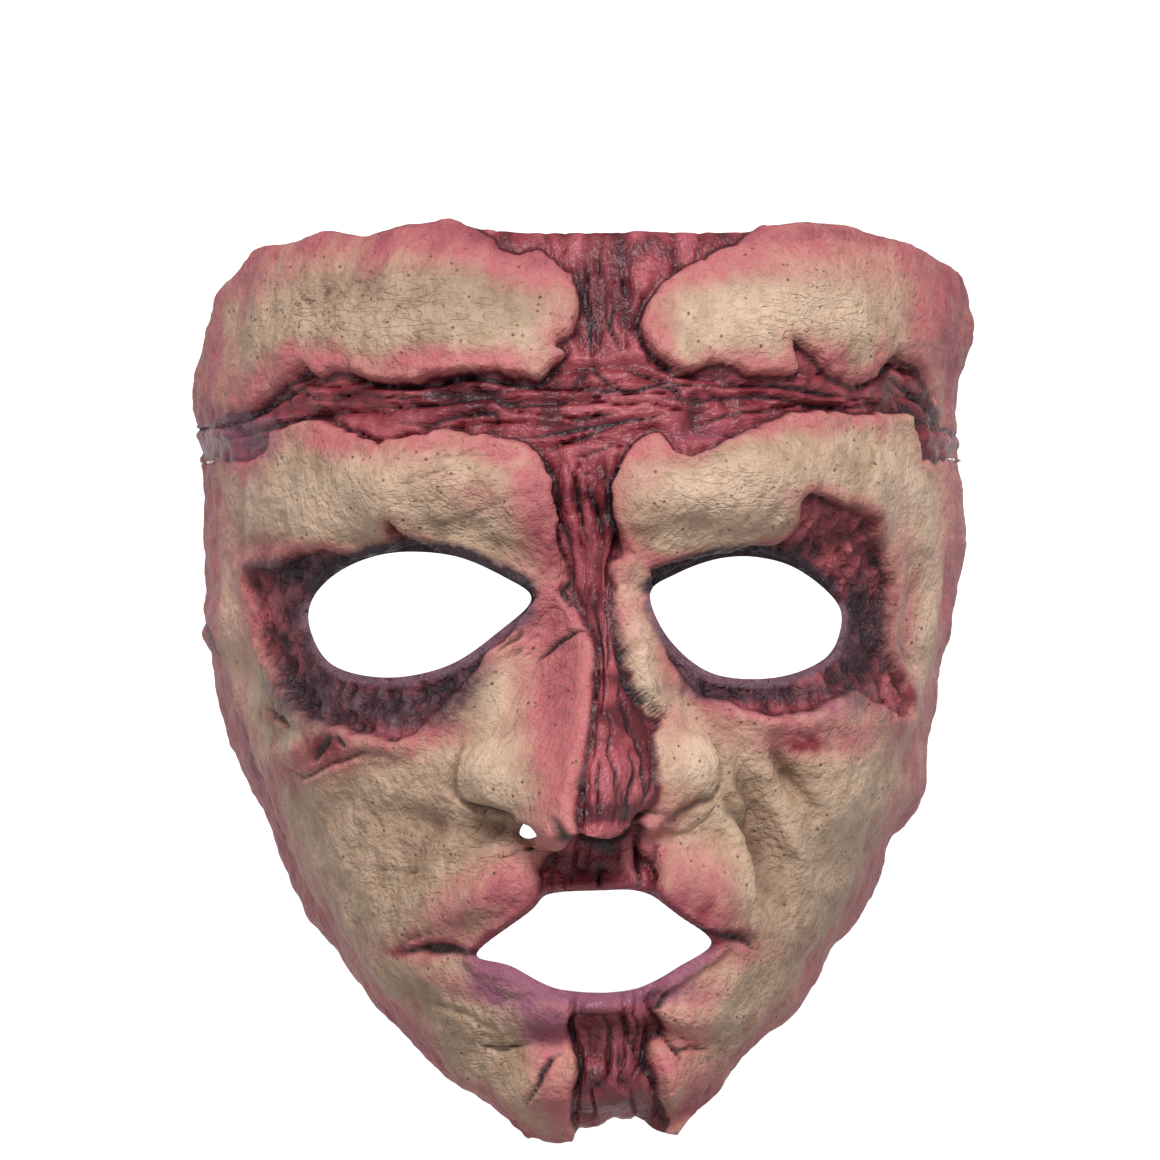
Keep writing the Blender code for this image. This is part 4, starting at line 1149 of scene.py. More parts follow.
def vertex_sheet(mesh):
    """Each vertex's place in the picture, from those of its corners that the cutters didn't make."""
    vertex = np.empty(len(mesh.loops), dtype=np.int32)
    mesh.loops.foreach_get("vertex_index", vertex)
    corner = np.empty(len(mesh.loops) * 2, dtype=np.float32)
    mesh.uv_layers["picture"].data.foreach_get("uv", corner)
    corner = corner.reshape(-1, 2)
    known = (corner > 0.01).all(axis=-1)
    count = len(mesh.vertices)
    times = np.bincount(vertex[known], minlength=count)
    sums = [np.bincount(vertex[known], corner[known, axis], minlength=count) for axis in (0, 1)]
    point = np.empty(count * 3, dtype=np.float32)
    mesh.vertices.foreach_get("co", point)
    point = point.reshape(-1, 3).astype(float)
    mean = np.stack(sums, axis=-1) / np.maximum(times, 1)[:, None] * PICTURE
    return np.where(times[:, None] > 0, mean, on_picture(point)), point


def give_attribute(mesh, name, values):
    """Store one number for each vertex, for the material to read."""
    attribute = mesh.attributes.new(name, "FLOAT", "POINT")
    attribute.data.foreach_set("value", np.asarray(values, dtype=np.float32))


# Where the paint of brows, lids and lips starts and ends down the picture, in picture points.
LID_START = 590
BROW_END = 606
EYES_END = 800
MOUTH_START = 860
LOWER_LIP_START = 940
UPPER_LIP_END = 948


def paint_skin(mesh, rim_ring):
    """Work out every paint layer at the vertices: airbrush passes, and bands along the pads' edges,
    the eye rings, the holes and the mask's own rim, all broken up by clouds."""
    sheet, point = vertex_sheet(mesh)
    around = flow(point)
    marks = skin_marks(sheet, around)
    hole = hole_distance(point)
    rim = outline_distance(sheet, rim_ring) * POINT_MM
    up = -sheet[:, 1] * POINT_MM
    wide_cloud = clouds(around / 9.0, up / 9.0, 101, 3)
    fine_cloud = clouds(around / 2.2, up / 2.2, 111, 3)
    pad, ring = marks["pad"], marks["ring"]
    down = sheet[:, 1]
    pad_band = np.exp(-((np.clip(pad, 0.0, None) / (4.4 + 2.0 * wide_cloud)) ** 2))
    ring_band = np.exp(-((np.clip(ring, 0.0, None) / (2.6 + 1.0 * wide_cloud)) ** 2))
    rim_band = np.exp(-((np.clip(rim, 0.0, None) / (4.0 + 2.0 * wide_cloud)) ** 2))
    lip_band = np.exp(-((np.clip(hole, 0.0, None) / 3.0) ** 2)) * (down > MOUTH_START)
    pink = 1.0 - (1.0 - 0.85 * pad_band) * (1.0 - 0.75 * ring_band) * (1.0 - 0.8 * rim_band)
    pink = pink * (1.0 - paint_amount("clean", sheet))
    pink = 1.0 - (1.0 - pink) * (1.0 - paint_amount("pink", sheet)) * (1.0 - 0.6 * lip_band)
    deep = 1.0 - (1.0 - 0.5 * rim_band) * (1.0 - paint_amount("deep", sheet)) * (1.0 - 0.6 * lip_band)
    at_eye = ease((EYES_END - down) / 20.0)
    lid = np.exp(-(((hole - 0.6) / 1.3) ** 2)) * ease((down - LID_START) / 24.0) * at_eye
    brow_shade = np.exp(-((np.clip(hole, 0.0, None) / 2.5) ** 2)) * at_eye
    brow_shade = brow_shade * ease((BROW_END - down) / 24.0)
    lower_lip = np.exp(-((np.clip(hole - 0.6, 0.0, None) / 1.9) ** 2))
    lower_lip = lower_lip * ease((down - LOWER_LIP_START) / 15.0)
    upper_lip = np.exp(-((np.clip(hole, 0.0, None) / 2.6) ** 2))
    upper_lip = upper_lip * ease((UPPER_LIP_END - down) / 15.0) * ease((down - MOUTH_START) / 15.0)
    # The wash is dark paint and painted shade: it darkens the low places between the folds and lumps, less
    # where the clean passes wipe it.
    lumps = fold_height(sheet) * 0.3 + lump_height(around, up) * 0.9
    wash_and_shade = np.clip(0.12 - lumps + 0.3 * wide_cloud, 0.0, 1.0) * (1.0 - paint_amount("clean", sheet))
    give_attribute(mesh, "wash_and_shade", wash_and_shade)
    give_attribute(mesh, "upper_lip", upper_lip * (1.0 + 0.3 * fine_cloud))
    give_attribute(mesh, "pink", pink * (1.0 + 0.25 * wide_cloud + 0.15 * fine_cloud))
    give_attribute(mesh, "deep", deep * (1.0 + 0.4 * wide_cloud + 0.2 * fine_cloud))
    give_attribute(mesh, "flesh", flesh_height(around, up) + 0.3 * fine_cloud)
    give_attribute(mesh, "pad", pad)
    give_attribute(mesh, "ring", ring)
    give_attribute(mesh, "crack", marks["crack"])
    give_attribute(mesh, "crease", marks["crease"])
    give_attribute(mesh, "level", ease((BAND_HALF - np.abs(down - BAND_CENTRE)) / BAND_FADE))
    give_attribute(mesh, "patch", 0.5 + 0.5 * clouds(around / 7.0, up / 5.0, 121, 3))
    give_attribute(mesh, "lid", lid * (1.0 + 0.3 * fine_cloud))
    give_attribute(mesh, "brow_shade", brow_shade * (1.0 + 0.3 * fine_cloud))
    give_attribute(mesh, "lower_lip", lower_lip * (1.0 + 0.2 * fine_cloud))
    for name in ("brown_and_shade", "pale", "bruise", "crimson", "mauve", "shade", "worn"):
        give_attribute(mesh, name, paint_amount(name, sheet) * (1.0 + 0.35 * fine_cloud))


rim_ring = np.concatenate([sheet[0, :-1:9], sheet[:-1:9, -1], sheet[-1, :0:-9], sheet[:0:-9, 0]])
paint_skin(face_skin.data, rim_ring)


def linear(code):
    """An sRGB hex colour as linear red, green, blue and alpha."""
    shares_of_one = np.array([int(code[place:place + 2], 16) for place in (1, 3, 5)]) / 255.0
    toe = shares_of_one / 12.92
    curve = ((shares_of_one + 0.055) / 1.055) ** 2.4
    return (*np.where(shares_of_one <= 0.04045, toe, curve), 1.0)


def add(tree, kind, inputs, **settings):
    """Add a node with its settings, and give each input a value or a link from another output."""
    made = tree.nodes.new(kind)
    for name, value in settings.items():
        setattr(made, name, value)
    for name, value in inputs.items():
        if isinstance(value, bpy.types.NodeSocket):
            tree.links.new(value, made.inputs[name])
        else:
            made.inputs[name].default_value = value
    return made


# Painted latex: a satin, slightly rubbery acrylic film over cast latex, glossier in the wound.
LATEX_TAN = "#B4967C"
LATEX_CREAM = "#D8B9A0"
LATEX_DARK_AND_SHADE = "#6E4E3E"
ROSE = "#BC686C"
DEEP_ROSE = "#8C3E4C"
WOUND_RED = "#802C36"
WOUND_LIGHT = "#B45E66"
WOUND_DARK = "#40161E"
CRACK_BLACK = "#24141B"
BRUISE = "#30202A"
BRUISE_GREY = "#6A5A64"
LIP_MAUVE = "#8E5468"
LID_MAUVE = "#6E505E"
MOTTLE_SIZE = 6.0 * MM
DAPPLE_SIZE = 2.5 * MM
GRAIN_SIZE = 1.2 * MM
SPECK_SPACING = 2.6 * MM
CRUMB_SIZE = 2.2 * MM
FIBRE_WIDTH = 0.7 * MM
FIBRE_LENGTH = 7.0 * MM
WRINKLE_SPACING = 2.2 * MM
WRINKLE_LENGTH = 7.0 * MM

painted_latex.use_nodes = True
tree = painted_latex.node_tree
shader = tree.nodes["Principled BSDF"]
spot = add(tree, "ShaderNodeTexCoord", {}).outputs["Object"]
mark = {
    name: add(tree, "ShaderNodeAttribute", {}, attribute_name=name).outputs["Fac"]
    for name in ("pad", "ring", "crack", "crease", "level", "pink", "deep", "brown_and_shade", "pale", "bruise",
                 "crimson", "mauve", "shade", "worn", "patch", "flesh", "wash_and_shade", "lid", "brow_shade",
                 "upper_lip", "lower_lip")
}
mottle = add(
    tree, "ShaderNodeTexNoise", {"Vector": spot, "Scale": 1 / MOTTLE_SIZE, "Detail": 4.0, "Roughness": 0.6}
).outputs["Fac"]
dapple = add(
    tree, "ShaderNodeTexNoise", {"Vector": spot, "Scale": 1 / DAPPLE_SIZE, "Detail": 2.0, "Roughness": 0.6}
).outputs["Fac"]
grain = add(
    tree, "ShaderNodeTexNoise", {"Vector": spot, "Scale": 1 / GRAIN_SIZE, "Detail": 2.0, "Roughness": 0.6}
).outputs["Fac"]
specks = add(
    tree, "ShaderNodeTexVoronoi", {"Vector": spot, "Scale": 1 / SPECK_SPACING}
).outputs["Distance"]
shaken = add(
    tree, "ShaderNodeTexNoise", {"Vector": spot, "Scale": 1 / DAPPLE_SIZE, "Detail": 1.0}
).outputs["Color"]
shaken = add(
    tree, "ShaderNodeVectorMath", {0: shaken, 1: (3.0 * MM, 3.0 * MM, 3.0 * MM), 2: spot},
    operation="MULTIPLY_ADD",
).outputs[0]
crumbs = add(
    tree, "ShaderNodeTexVoronoi", {"Vector": shaken, "Scale": 1 / CRUMB_SIZE}, feature="DISTANCE_TO_EDGE"
).outputs["Distance"]
stretched = []
for vector, length_across, length_up, bend in (
    (shaken, FIBRE_LENGTH, FIBRE_WIDTH, 0.3), (shaken, FIBRE_WIDTH, FIBRE_LENGTH, 0.3),
    (spot, WRINKLE_LENGTH, WRINKLE_SPACING, 1.1),
):
    stretch = (1 / length_across, 1 / length_across, 1 / length_up)
    place = add(tree, "ShaderNodeMapping", {"Vector": vector, "Scale": stretch}).outputs["Vector"]
    stretched.append(
        add(
            tree, "ShaderNodeTexNoise", {"Vector": place, "Scale": 1.0, "Detail": 1.0, "Distortion": bend}
        ).outputs["Fac"]
    )
fibres = add(
    tree, "ShaderNodeMix", {0: mark["level"], 2: stretched[1], 3: stretched[0]}, data_type="FLOAT"
).outputs[0]
off_line = add(
    tree, "ShaderNodeMath", {0: stretched[2], 1: 0.5}, operation="SUBTRACT"
).outputs[0]
wrinkle_line = add(tree, "ShaderNodeMath", {0: off_line}, operation="ABSOLUTE").outputs[0]

# Paint layers from the ground up: name, colour, and the ranges whose product is how much shows. A
# range turns a value's low to high into least to most.
layers = (
    ("cream", LATEX_CREAM, ((mottle, 0.42, 0.62, 0.0, 0.6),)),
    # Cream paint and painted highlight where the pale passes lie.
    ("pale", LATEX_CREAM, ((mark["pale"], 0.05, 0.9, 0.0, 1.0),)),
    # Dark wash and painted shade in the low places.
    ("wash_and_shade", LATEX_DARK_AND_SHADE, ((mark["wash_and_shade"], 0.05, 0.9, 0.0, 0.7), (dapple, 0.3, 0.65, 0.4, 1.0))),
    # Brown paint and painted shade where the brown passes lie.
    ("brown_and_shade", LATEX_DARK_AND_SHADE, ((mark["brown_and_shade"], 0.0, 1.0, 0.0, 0.75), (mottle, 0.3, 0.6, 0.5, 1.0))),
    ("dapple", LATEX_DARK_AND_SHADE, ((dapple, 0.52, 0.68, 0.0, 0.22),)),
    ("rose", ROSE, ((mark["pink"], 0.1, 0.95, 0.0, 1.0), (grain, 0.2, 0.6, 0.7, 1.0))),
    ("deep_rose", DEEP_ROSE, ((mark["deep"], 0.15, 1.0, 0.0, 0.9), (mottle, 0.35, 0.6, 0.3, 1.0))),
    ("mauve", LIP_MAUVE, ((mark["mauve"], 0.1, 0.8, 0.0, 0.95),)),
    ("crimson", WOUND_RED, ((mark["crimson"], 0.15, 0.7, 0.0, 0.95),)),
    ("flesh", WOUND_RED, ((mark["ring"], 0.5, -0.5, 0.0, 0.95),)),
    # Lighter crimson paint and painted highlight on the high crumbs of the torn flesh.
    ("flesh_light_and_highlight", WOUND_LIGHT, ((mark["ring"], 0.3, -0.5, 0.0, 0.95), (mark["flesh"], -0.1, 0.8, 0.0, 1.0),
                                  (dapple, 0.35, 0.55, 0.5, 1.0))),
    ("bruise", BRUISE, ((mark["bruise"], 0.1, 0.7, 0.0, 0.95), (grain, 0.3, 0.6, 0.75, 1.0))),
    ("bruise_grey", BRUISE_GREY, ((mark["bruise"], 0.2, 0.8, 0.0, 0.42), (mark["flesh"], 0.1, 1.0, 0.0, 1.0),
                                  (dapple, 0.4, 0.6, 0.3, 1.0))),
    # Black paint and painted shade in the low gaps between the crumbs.
    ("crumb_gap_shade", CRACK_BLACK, ((mark["ring"], 0.3, -0.7, 0.0, 0.9), (mark["flesh"], 0.0, -0.6, 0.0, 1.0),
                                (crumbs, 0.3, 0.05, 0.5, 1.0))),
    ("ring_red", WOUND_LIGHT, ((mark["ring"], 0.0, -1.2, 0.0, 0.6), (mark["crimson"], 0.2, 0.8, 0.0, 1.0),
                               (dapple, 0.35, 0.6, 0.2, 1.0))),
    ("lid", LID_MAUVE, ((mark["lid"], 0.2, 0.8, 0.0, 0.9),)),
    ("brow_shade", BRUISE, ((mark["brow_shade"], 0.15, 0.6, 0.0, 1.0),)),
    ("wound", WOUND_RED, ((mark["pad"], 0.3, -0.3, 0.0, 1.0),)),
    # Lighter crimson on the strands' tops: paint and painted highlight.
    ("wound_light_and_highlight", WOUND_LIGHT, ((mark["pad"], 0.2, -0.8, 0.0, 0.95), (mark["crack"], 0.15, 0.6, 0.1, 1.0),
                                  (mark["patch"], 0.3, 0.7, 0.2, 1.0), (fibres, 0.3, 0.6, 0.45, 1.0))),
    ("wound_shade", WOUND_DARK, ((mark["pad"], 0.2, -0.4, 0.0, 0.85), (mark["shade"], 0.1, 1.0, 0.0, 0.8))),
    # Painted shadow: a dark line at the foot of each pad's edge, where the pad stands over the wound.
    ("pad_foot_shadow", WOUND_DARK, ((mark["pad"], 0.1, -0.3, 0.0, 0.85), (mark["pad"], -1.5, -0.6, 0.0, 1.0))),
    # Painted shadow: a black line just inside each eye ring's edge, where the skin steps down into the
    # flesh.
    ("ring_edge_shadow", CRACK_BLACK, ((mark["ring"], 0.2, -0.2, 0.0, 0.75), (mark["ring"], -1.3, -0.5, 0.0, 1.0),
                                (dapple, 0.4, 0.6, 0.2, 1.0))),
    ("wound_dark", WOUND_DARK, ((mark["pad"], 0.2, -0.8, 0.0, 0.7), (mark["patch"], 0.35, 0.1, 0.0, 1.0))),
    ("wound_bruise", LIP_MAUVE, ((mark["pad"], 0.2, -0.4, 0.0, 1.0), (mark["mauve"], 0.1, 0.7, 0.0, 0.8))),
    # Black in the furrows between the strands: dark paint and painted shade.
    ("wound_crack_and_shade", CRACK_BLACK, ((mark["pad"], 0.3, -0.3, 0.0, 0.6), (mark["crack"], 0.14, 0.03, 0.0, 1.0),
                                  (grain, 0.35, 0.55, 0.2, 1.0))),
    ("upper_lip", DEEP_ROSE, ((mark["upper_lip"], 0.1, 0.8, 0.0, 0.9),)),
    ("lower_lip", LIP_MAUVE, ((mark["lower_lip"], 0.1, 0.8, 0.0, 0.9),)),
    # Dark paint and painted shade in the drawn creases and cracks.
    ("crease", CRACK_BLACK, ((mark["crease"], 0.25, 0.8, 0.0, 0.95),)),
    ("speck", LATEX_DARK_AND_SHADE, ((specks, 0.17, 0.09, 0.0, 0.9), (mottle, 0.47, 0.53, 0.0, 1.0))),
    ("wrinkle", LATEX_DARK_AND_SHADE, ((wrinkle_line, 0.03, 0.006, 0.0, 0.4), (mark["worn"], 0.1, 0.9, 0.0, 1.0),
                               (dapple, 0.42, 0.58, 0.0, 1.0),
                               (mark["pad"], 0.5, 3.0, 0.0, 1.0))),
)
colour = linear(LATEX_TAN)
for name, code, ranges in layers:
    amount = None
    for value, low, high, least, most in ranges:
        share = add(
            tree, "ShaderNodeMapRange",
            {"Value": value, "From Min": low, "From Max": high, "To Min": least, "To Max": most},
        ).outputs["Result"]
        if amount is None:
            amount = share
        else:
            amount = add(tree, "ShaderNodeMath", {0: amount, 1: share}, operation="MULTIPLY").outputs[0]
    colour = add(
        tree, "ShaderNodeMix", {0: amount, 6: colour, 7: linear(code)}, data_type="RGBA", label=name
    ).outputs[2]
tree.links.new(colour, shader.inputs["Base Color"])
wet = add(
    tree, "ShaderNodeMapRange",
    {"Value": mark["pad"], "From Min": -0.6, "From Max": 0.4, "To Min": 0.42, "To Max": 0.56},
).outputs["Result"]
tree.links.new(wet, shader.inputs["Roughness"])
shader.inputs["IOR"].default_value = 1.52
shader.inputs["Specular IOR Level"].default_value = 0.33

# Bumps, one over the other: value, its low and high, rise, strength, and the value that limits where.
bumps = (
    (dapple, 0.3, 0.7, 0.5 * MM, 0.6, None),
    (grain, 0.3, 0.7, 0.35 * MM, 0.7, (mark["pad"], -0.4, 0.4)),
    (wrinkle_line, 0.0, 0.05, 0.22 * MM, 0.8, (mark["worn"], 0.1, 0.8)),
    (specks, 0.06, 0.18, 0.2 * MM, 0.8, (mark["pad"], 0.0, 1.0)),
    (crumbs, 0.0, 0.3, 0.4 * MM, 0.6, (mark["ring"], 0.4, -0.4)),
    (fibres, 0.3, 0.7, 0.3 * MM, 0.5, (mark["pad"], 0.2, -0.4)),
)
surface = None
for value, low, high, rise, strength, where in bumps:
    step = add(
        tree, "ShaderNodeMapRange", {"Value": value, "From Min": low, "From Max": high}
    ).outputs["Result"]
    wiring = {"Height": step, "Distance": rise, "Strength": strength}
    if where is not None:
        wiring["Strength"] = add(
            tree, "ShaderNodeMapRange",
            {"Value": where[0], "From Min": where[1], "From Max": where[2], "To Max": strength},
        ).outputs["Result"]
    if surface is not None:
        wiring["Normal"] = surface
    surface = add(tree, "ShaderNodeBump", wiring).outputs["Normal"]
tree.links.new(surface, shader.inputs["Normal"])

# Bare latex inside: the plain cured film, matt and a little yellow, as it comes out of the mould.
BARE_TAN = "#B99B78"
BARE_CREAM = "#D8C4A4"
STAIN_SIZE = 18.0 * MM
RIPPLE_SIZE = 2.5 * MM
bare_latex.use_nodes = True
tree = bare_latex.node_tree
shader = tree.nodes["Principled BSDF"]
spot = add(tree, "ShaderNodeTexCoord", {}).outputs["Object"]
stain = add(
    tree, "ShaderNodeTexNoise", {"Vector": spot, "Scale": 1 / STAIN_SIZE, "Detail": 5.0, "Roughness": 0.55}
).outputs["Fac"]
colour = add(
    tree, "ShaderNodeMix", {0: stain, 6: linear(BARE_TAN), 7: linear(BARE_CREAM)}, data_type="RGBA"
).outputs[2]
tree.links.new(colour, shader.inputs["Base Color"])
shader.inputs["Roughness"].default_value = 0.7
ripple = add(
    tree, "ShaderNodeTexNoise", {"Vector": spot, "Scale": 1 / RIPPLE_SIZE, "Detail": 3.0}
).outputs["Fac"]
surface = add(tree, "ShaderNodeBump", {"Height": ripple, "Distance": 0.3 * MM, "Strength": 0.5})
tree.links.new(surface.outputs["Normal"], shader.inputs["Normal"])

face_skin.data.shade_smooth()
face_skin.data.set_sharp_from_angle(angle=np.radians(70.0))
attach(face_skin, "root")
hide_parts("mask_shell")


# Head strap
# A flat black band of woven elastic, stapled inside both side rims and going round the back of the
# head. Ribs run along it and fine picks cross them, and its edges are rounded and a little fuzzy.
HEAD_LENGTH = 192.0 * MM
FLANK_STEPS = 30
LOOP_STEPS = 90
LOOP_FULLNESS = 1.6
WIDTH_STEPS = 22
EDGE_ROUND = 0.94
ELASTIC_BLACK = "#141416"
ELASTIC_GREY = "#35353A"
RIB_WIDTH = 1.25 * MM
PICK_LENGTH = 0.9 * MM
FUZZ_SIZE = 0.4 * MM
WAVE_TURN = 2.0 * np.pi / 20.0


def unit(vector):
    """The vector at length one."""
    return vector / np.linalg.norm(vector, axis=-1, keepdims=True)


def strap_line(up_net):
    """One level line of the strap's outer face, from the left tail along the flank, round the back of
    the head and back to the right tail. Each half of the loop is a Hermite curve."""
    under = np.linspace(STRAP_OVERLAP, 0.0, FLANK_STEPS + 1)
    share = np.linspace(0.0, 1.0, LOOP_STEPS + 1)[1:, None]
    flanks, halves = [], []
    for side in (-1.0, 1.0):
        across_net, walked = rim_walk(side, up_net)
        place = np.interp(under, walked, across_net)
        level = np.full_like(place, up_net)
        flanks.append(base_point(place, level) - base_normal(place, level) * (LATEX_WALL + GAP))
    behind = np.array([0.0, HEAD_LENGTH, (flanks[0][-1, 2] + flanks[1][-1, 2]) / 2.0])
    for side, flank in zip((-1.0, 1.0), flanks):
        rim = flank[-1]
        leave = unit(rim - flank[-2]) * LOOP_FULLNESS * (HEAD_LENGTH - rim[1])
        arrive = np.array([-side, 0.0, 0.0]) * LOOP_FULLNESS * abs(rim[0])
        loop = (1.0 + 2.0 * share) * (1.0 - share) ** 2 * rim + share * (1.0 - share) ** 2 * leave
        loop = loop + share**2 * (3.0 - 2.0 * share) * behind + share**2 * (share - 1.0) * arrive
        halves.append(np.concatenate([flank, loop]))
    return np.concatenate([halves[0], halves[1][::-1][1:]])


def swept_mesh(name, rings, places):
    """A closed solid from rings of points, one after another, with flat ends. Places are metres along
    and round it, kept as a UV map."""
    corner = np.arange(rings.shape[0] * rings.shape[1]).reshape(rings.shape[:2])
    after = np.roll(corner, -1, axis=1)
    sides = np.stack([corner[:-1], after[:-1], after[1:], corner[1:]], axis=-1).reshape(-1, 4)
    mesh = bpy.data.meshes.new(name)
    ends = [corner[0, ::-1].tolist(), corner[-1].tolist()]
    mesh.from_pydata(rings.reshape(-1, 3).tolist(), [], sides.tolist() + ends)
    vertex = np.empty(len(mesh.loops), dtype=np.int32)
    mesh.loops.foreach_get("vertex_index", vertex)
    layer = mesh.uv_layers.new(name="run")
    layer.data.foreach_set("uv", places.reshape(-1, 2)[vertex].astype(np.float32).ravel())
    mesh.update()
    return mesh


width_share = 0.5 - 0.5 * np.cos(np.linspace(0.0, np.pi, WIDTH_STEPS + 1))
half_share = STRAP_WIDTH / MASK_HEIGHT / 2.0
levels = STRAP_UP + half_share * (2.0 * width_share - 1.0)
face = np.stack([strap_line(level) for level in levels], axis=1)
along = np.gradient(face, axis=0)
inward = unit(np.cross(along, face[:, -1:] - face[:, :1]))
walked = np.concatenate([[0.0], np.cumsum(np.linalg.norm(np.diff(face[:, 0], axis=0), axis=1))])
off_middle = np.clip((np.abs(2.0 * width_share - 1.0) - EDGE_ROUND) / (1.0 - EDGE_ROUND), 0.0, 1.0)
half_thick = STRAP_THICKNESS / 2.0 * np.sqrt(1.0 - off_middle**2)
middle = face + inward * STRAP_THICKNESS / 2.0
outside = middle - inward * half_thick[:, None]
inside = middle + inward * half_thick[:, None]
rings = np.concatenate([outside, inside[:, -2:0:-1]], axis=1)
over = np.concatenate([width_share, width_share[-2:0:-1]]) * STRAP_WIDTH
places = np.stack(np.broadcast_arrays(walked[:, None], over[None, :]), axis=-1)
head_band = new_object("head_band", swept_mesh("head_band", rings, places))
head_band.data = cut_out(head_band, leg_cutters(-1.0) + leg_cutters(1.0))
head_band.data.name = "head_band"

# Woven elastic: matt black yarn over rubber, a soft sheen at the edges, ribs and picks as bumps.
woven_elastic = bpy.data.materials.new("woven_elastic_black")
woven_elastic.use_nodes = True
tree = woven_elastic.node_tree
shader = tree.nodes["Principled BSDF"]
run = add(tree, "ShaderNodeUVMap", {}, uv_map="run").outputs["UV"]
ribs = add(
    tree, "ShaderNodeTexWave", {"Vector": run, "Scale": WAVE_TURN / RIB_WIDTH}, bands_direction="Y"
).outputs["Fac"]
over_run = add(tree, "ShaderNodeSeparateXYZ", {0: run}).outputs["Y"]
rib_count = add(tree, "ShaderNodeMath", {0: over_run, 1: RIB_WIDTH}, operation="DIVIDE").outputs[0]
rib_number = add(tree, "ShaderNodeMath", {0: rib_count}, operation="FLOOR").outputs[0]
shift = add(tree, "ShaderNodeMath", {0: rib_number, 1: np.pi}, operation="MULTIPLY").outputs[0]
picks = add(
    tree, "ShaderNodeTexWave",
    {"Vector": run, "Scale": WAVE_TURN / PICK_LENGTH, "Phase Offset": shift}, bands_direction="X",
).outputs["Fac"]
weave = add(tree, "ShaderNodeMath", {0: ribs, 1: picks}, operation="MULTIPLY").outputs[0]
fuzz = add(
    tree, "ShaderNodeTexNoise", {"Vector": run, "Scale": 1 / FUZZ_SIZE, "Detail": 3.0}
).outputs["Fac"]
yarn = add(tree, "ShaderNodeMath", {0: weave, 1: fuzz}, operation="MULTIPLY").outputs[0]
colour = add(
    tree, "ShaderNodeMix", {0: yarn, 6: linear(ELASTIC_BLACK), 7: linear(ELASTIC_GREY)}, data_type="RGBA"
).outputs[2]
tree.links.new(colour, shader.inputs["Base Color"])
shader.inputs["Roughness"].default_value = 0.85
shader.inputs["Sheen Weight"].default_value = 0.35
shader.inputs["Sheen Roughness"].default_value = 0.5
surface = add(tree, "ShaderNodeBump", {"Height": weave, "Distance": 0.25 * MM, "Strength": 0.8})
surface = add(
    tree, "ShaderNodeBump",
    {"Height": fuzz, "Distance": 0.1 * MM, "Strength": 0.5, "Normal": surface.outputs["Normal"]},
)
tree.links.new(surface.outputs["Normal"], shader.inputs["Normal"])

head_band.data.materials.clear()
head_band.data.materials.append(woven_elastic)
head_band.data.shade_smooth()
head_band.data.set_sharp_from_angle(angle=np.radians(50.0))
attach(head_band, "root")
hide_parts("head_strap")


# Staples
# A bright wire staple on each side clinches the strap to the latex: its crown lies inside against the
# strap, and its two legs come out through the skin and bend towards each other.
STAPLE_CLINCH = 3.0 * MM
CLINCH_GAP = 0.45 * MM
BEND = 0.55 * MM
BEND_STEPS = 6
WIRE_SIDES = 14
STEEL = "#B9B8B2"
SCRATCH_LENGTH = 4.0 * MM
SCRATCH_WIDTH = 0.08 * MM


def bent_wire(corners):
    """A path through corners, with each inner one rounded by a short quadratic curve."""
    path = [corners[:1]]
    share = np.linspace(0.0, 1.0, BEND_STEPS + 1)[:, None]
    for before, here, after in zip(corners[:-2], corners[1:-1], corners[2:]):
        start, end = here + unit(before - here) * BEND, here + unit(after - here) * BEND
        curve = (1.0 - share) ** 2 * start + 2.0 * share * (1.0 - share) * here + share**2 * end
        path.append(curve)
    return np.concatenate(path + [corners[-1:]])


# Drawn steel wire: bright, with fine scratches along and round it.
staple_steel = bpy.data.materials.new("drawn_steel_wire")
staple_steel.use_nodes = True
tree = staple_steel.node_tree
shader = tree.nodes["Principled BSDF"]
run = add(tree, "ShaderNodeUVMap", {}, uv_map="run").outputs["UV"]
lines = add(
    tree, "ShaderNodeMapping", {"Vector": run, "Scale": (1 / SCRATCH_LENGTH, 1 / SCRATCH_WIDTH, 1.0)}
).outputs["Vector"]
scratches = add(tree, "ShaderNodeTexNoise", {"Vector": lines, "Scale": 1.0, "Detail": 3.0}).outputs["Fac"]
shader.inputs["Base Color"].default_value = linear(STEEL)
shader.inputs["Metallic"].default_value = 1.0
roughness = add(
    tree, "ShaderNodeMapRange", {"Value": scratches, "To Min": 0.22, "To Max": 0.42}
).outputs["Result"]
tree.links.new(roughness, shader.inputs["Roughness"])
surface = add(tree, "ShaderNodeBump", {"Height": scratches, "Distance": 0.02 * MM, "Strength": 0.5})
tree.links.new(surface.outputs["Normal"], shader.inputs["Normal"])

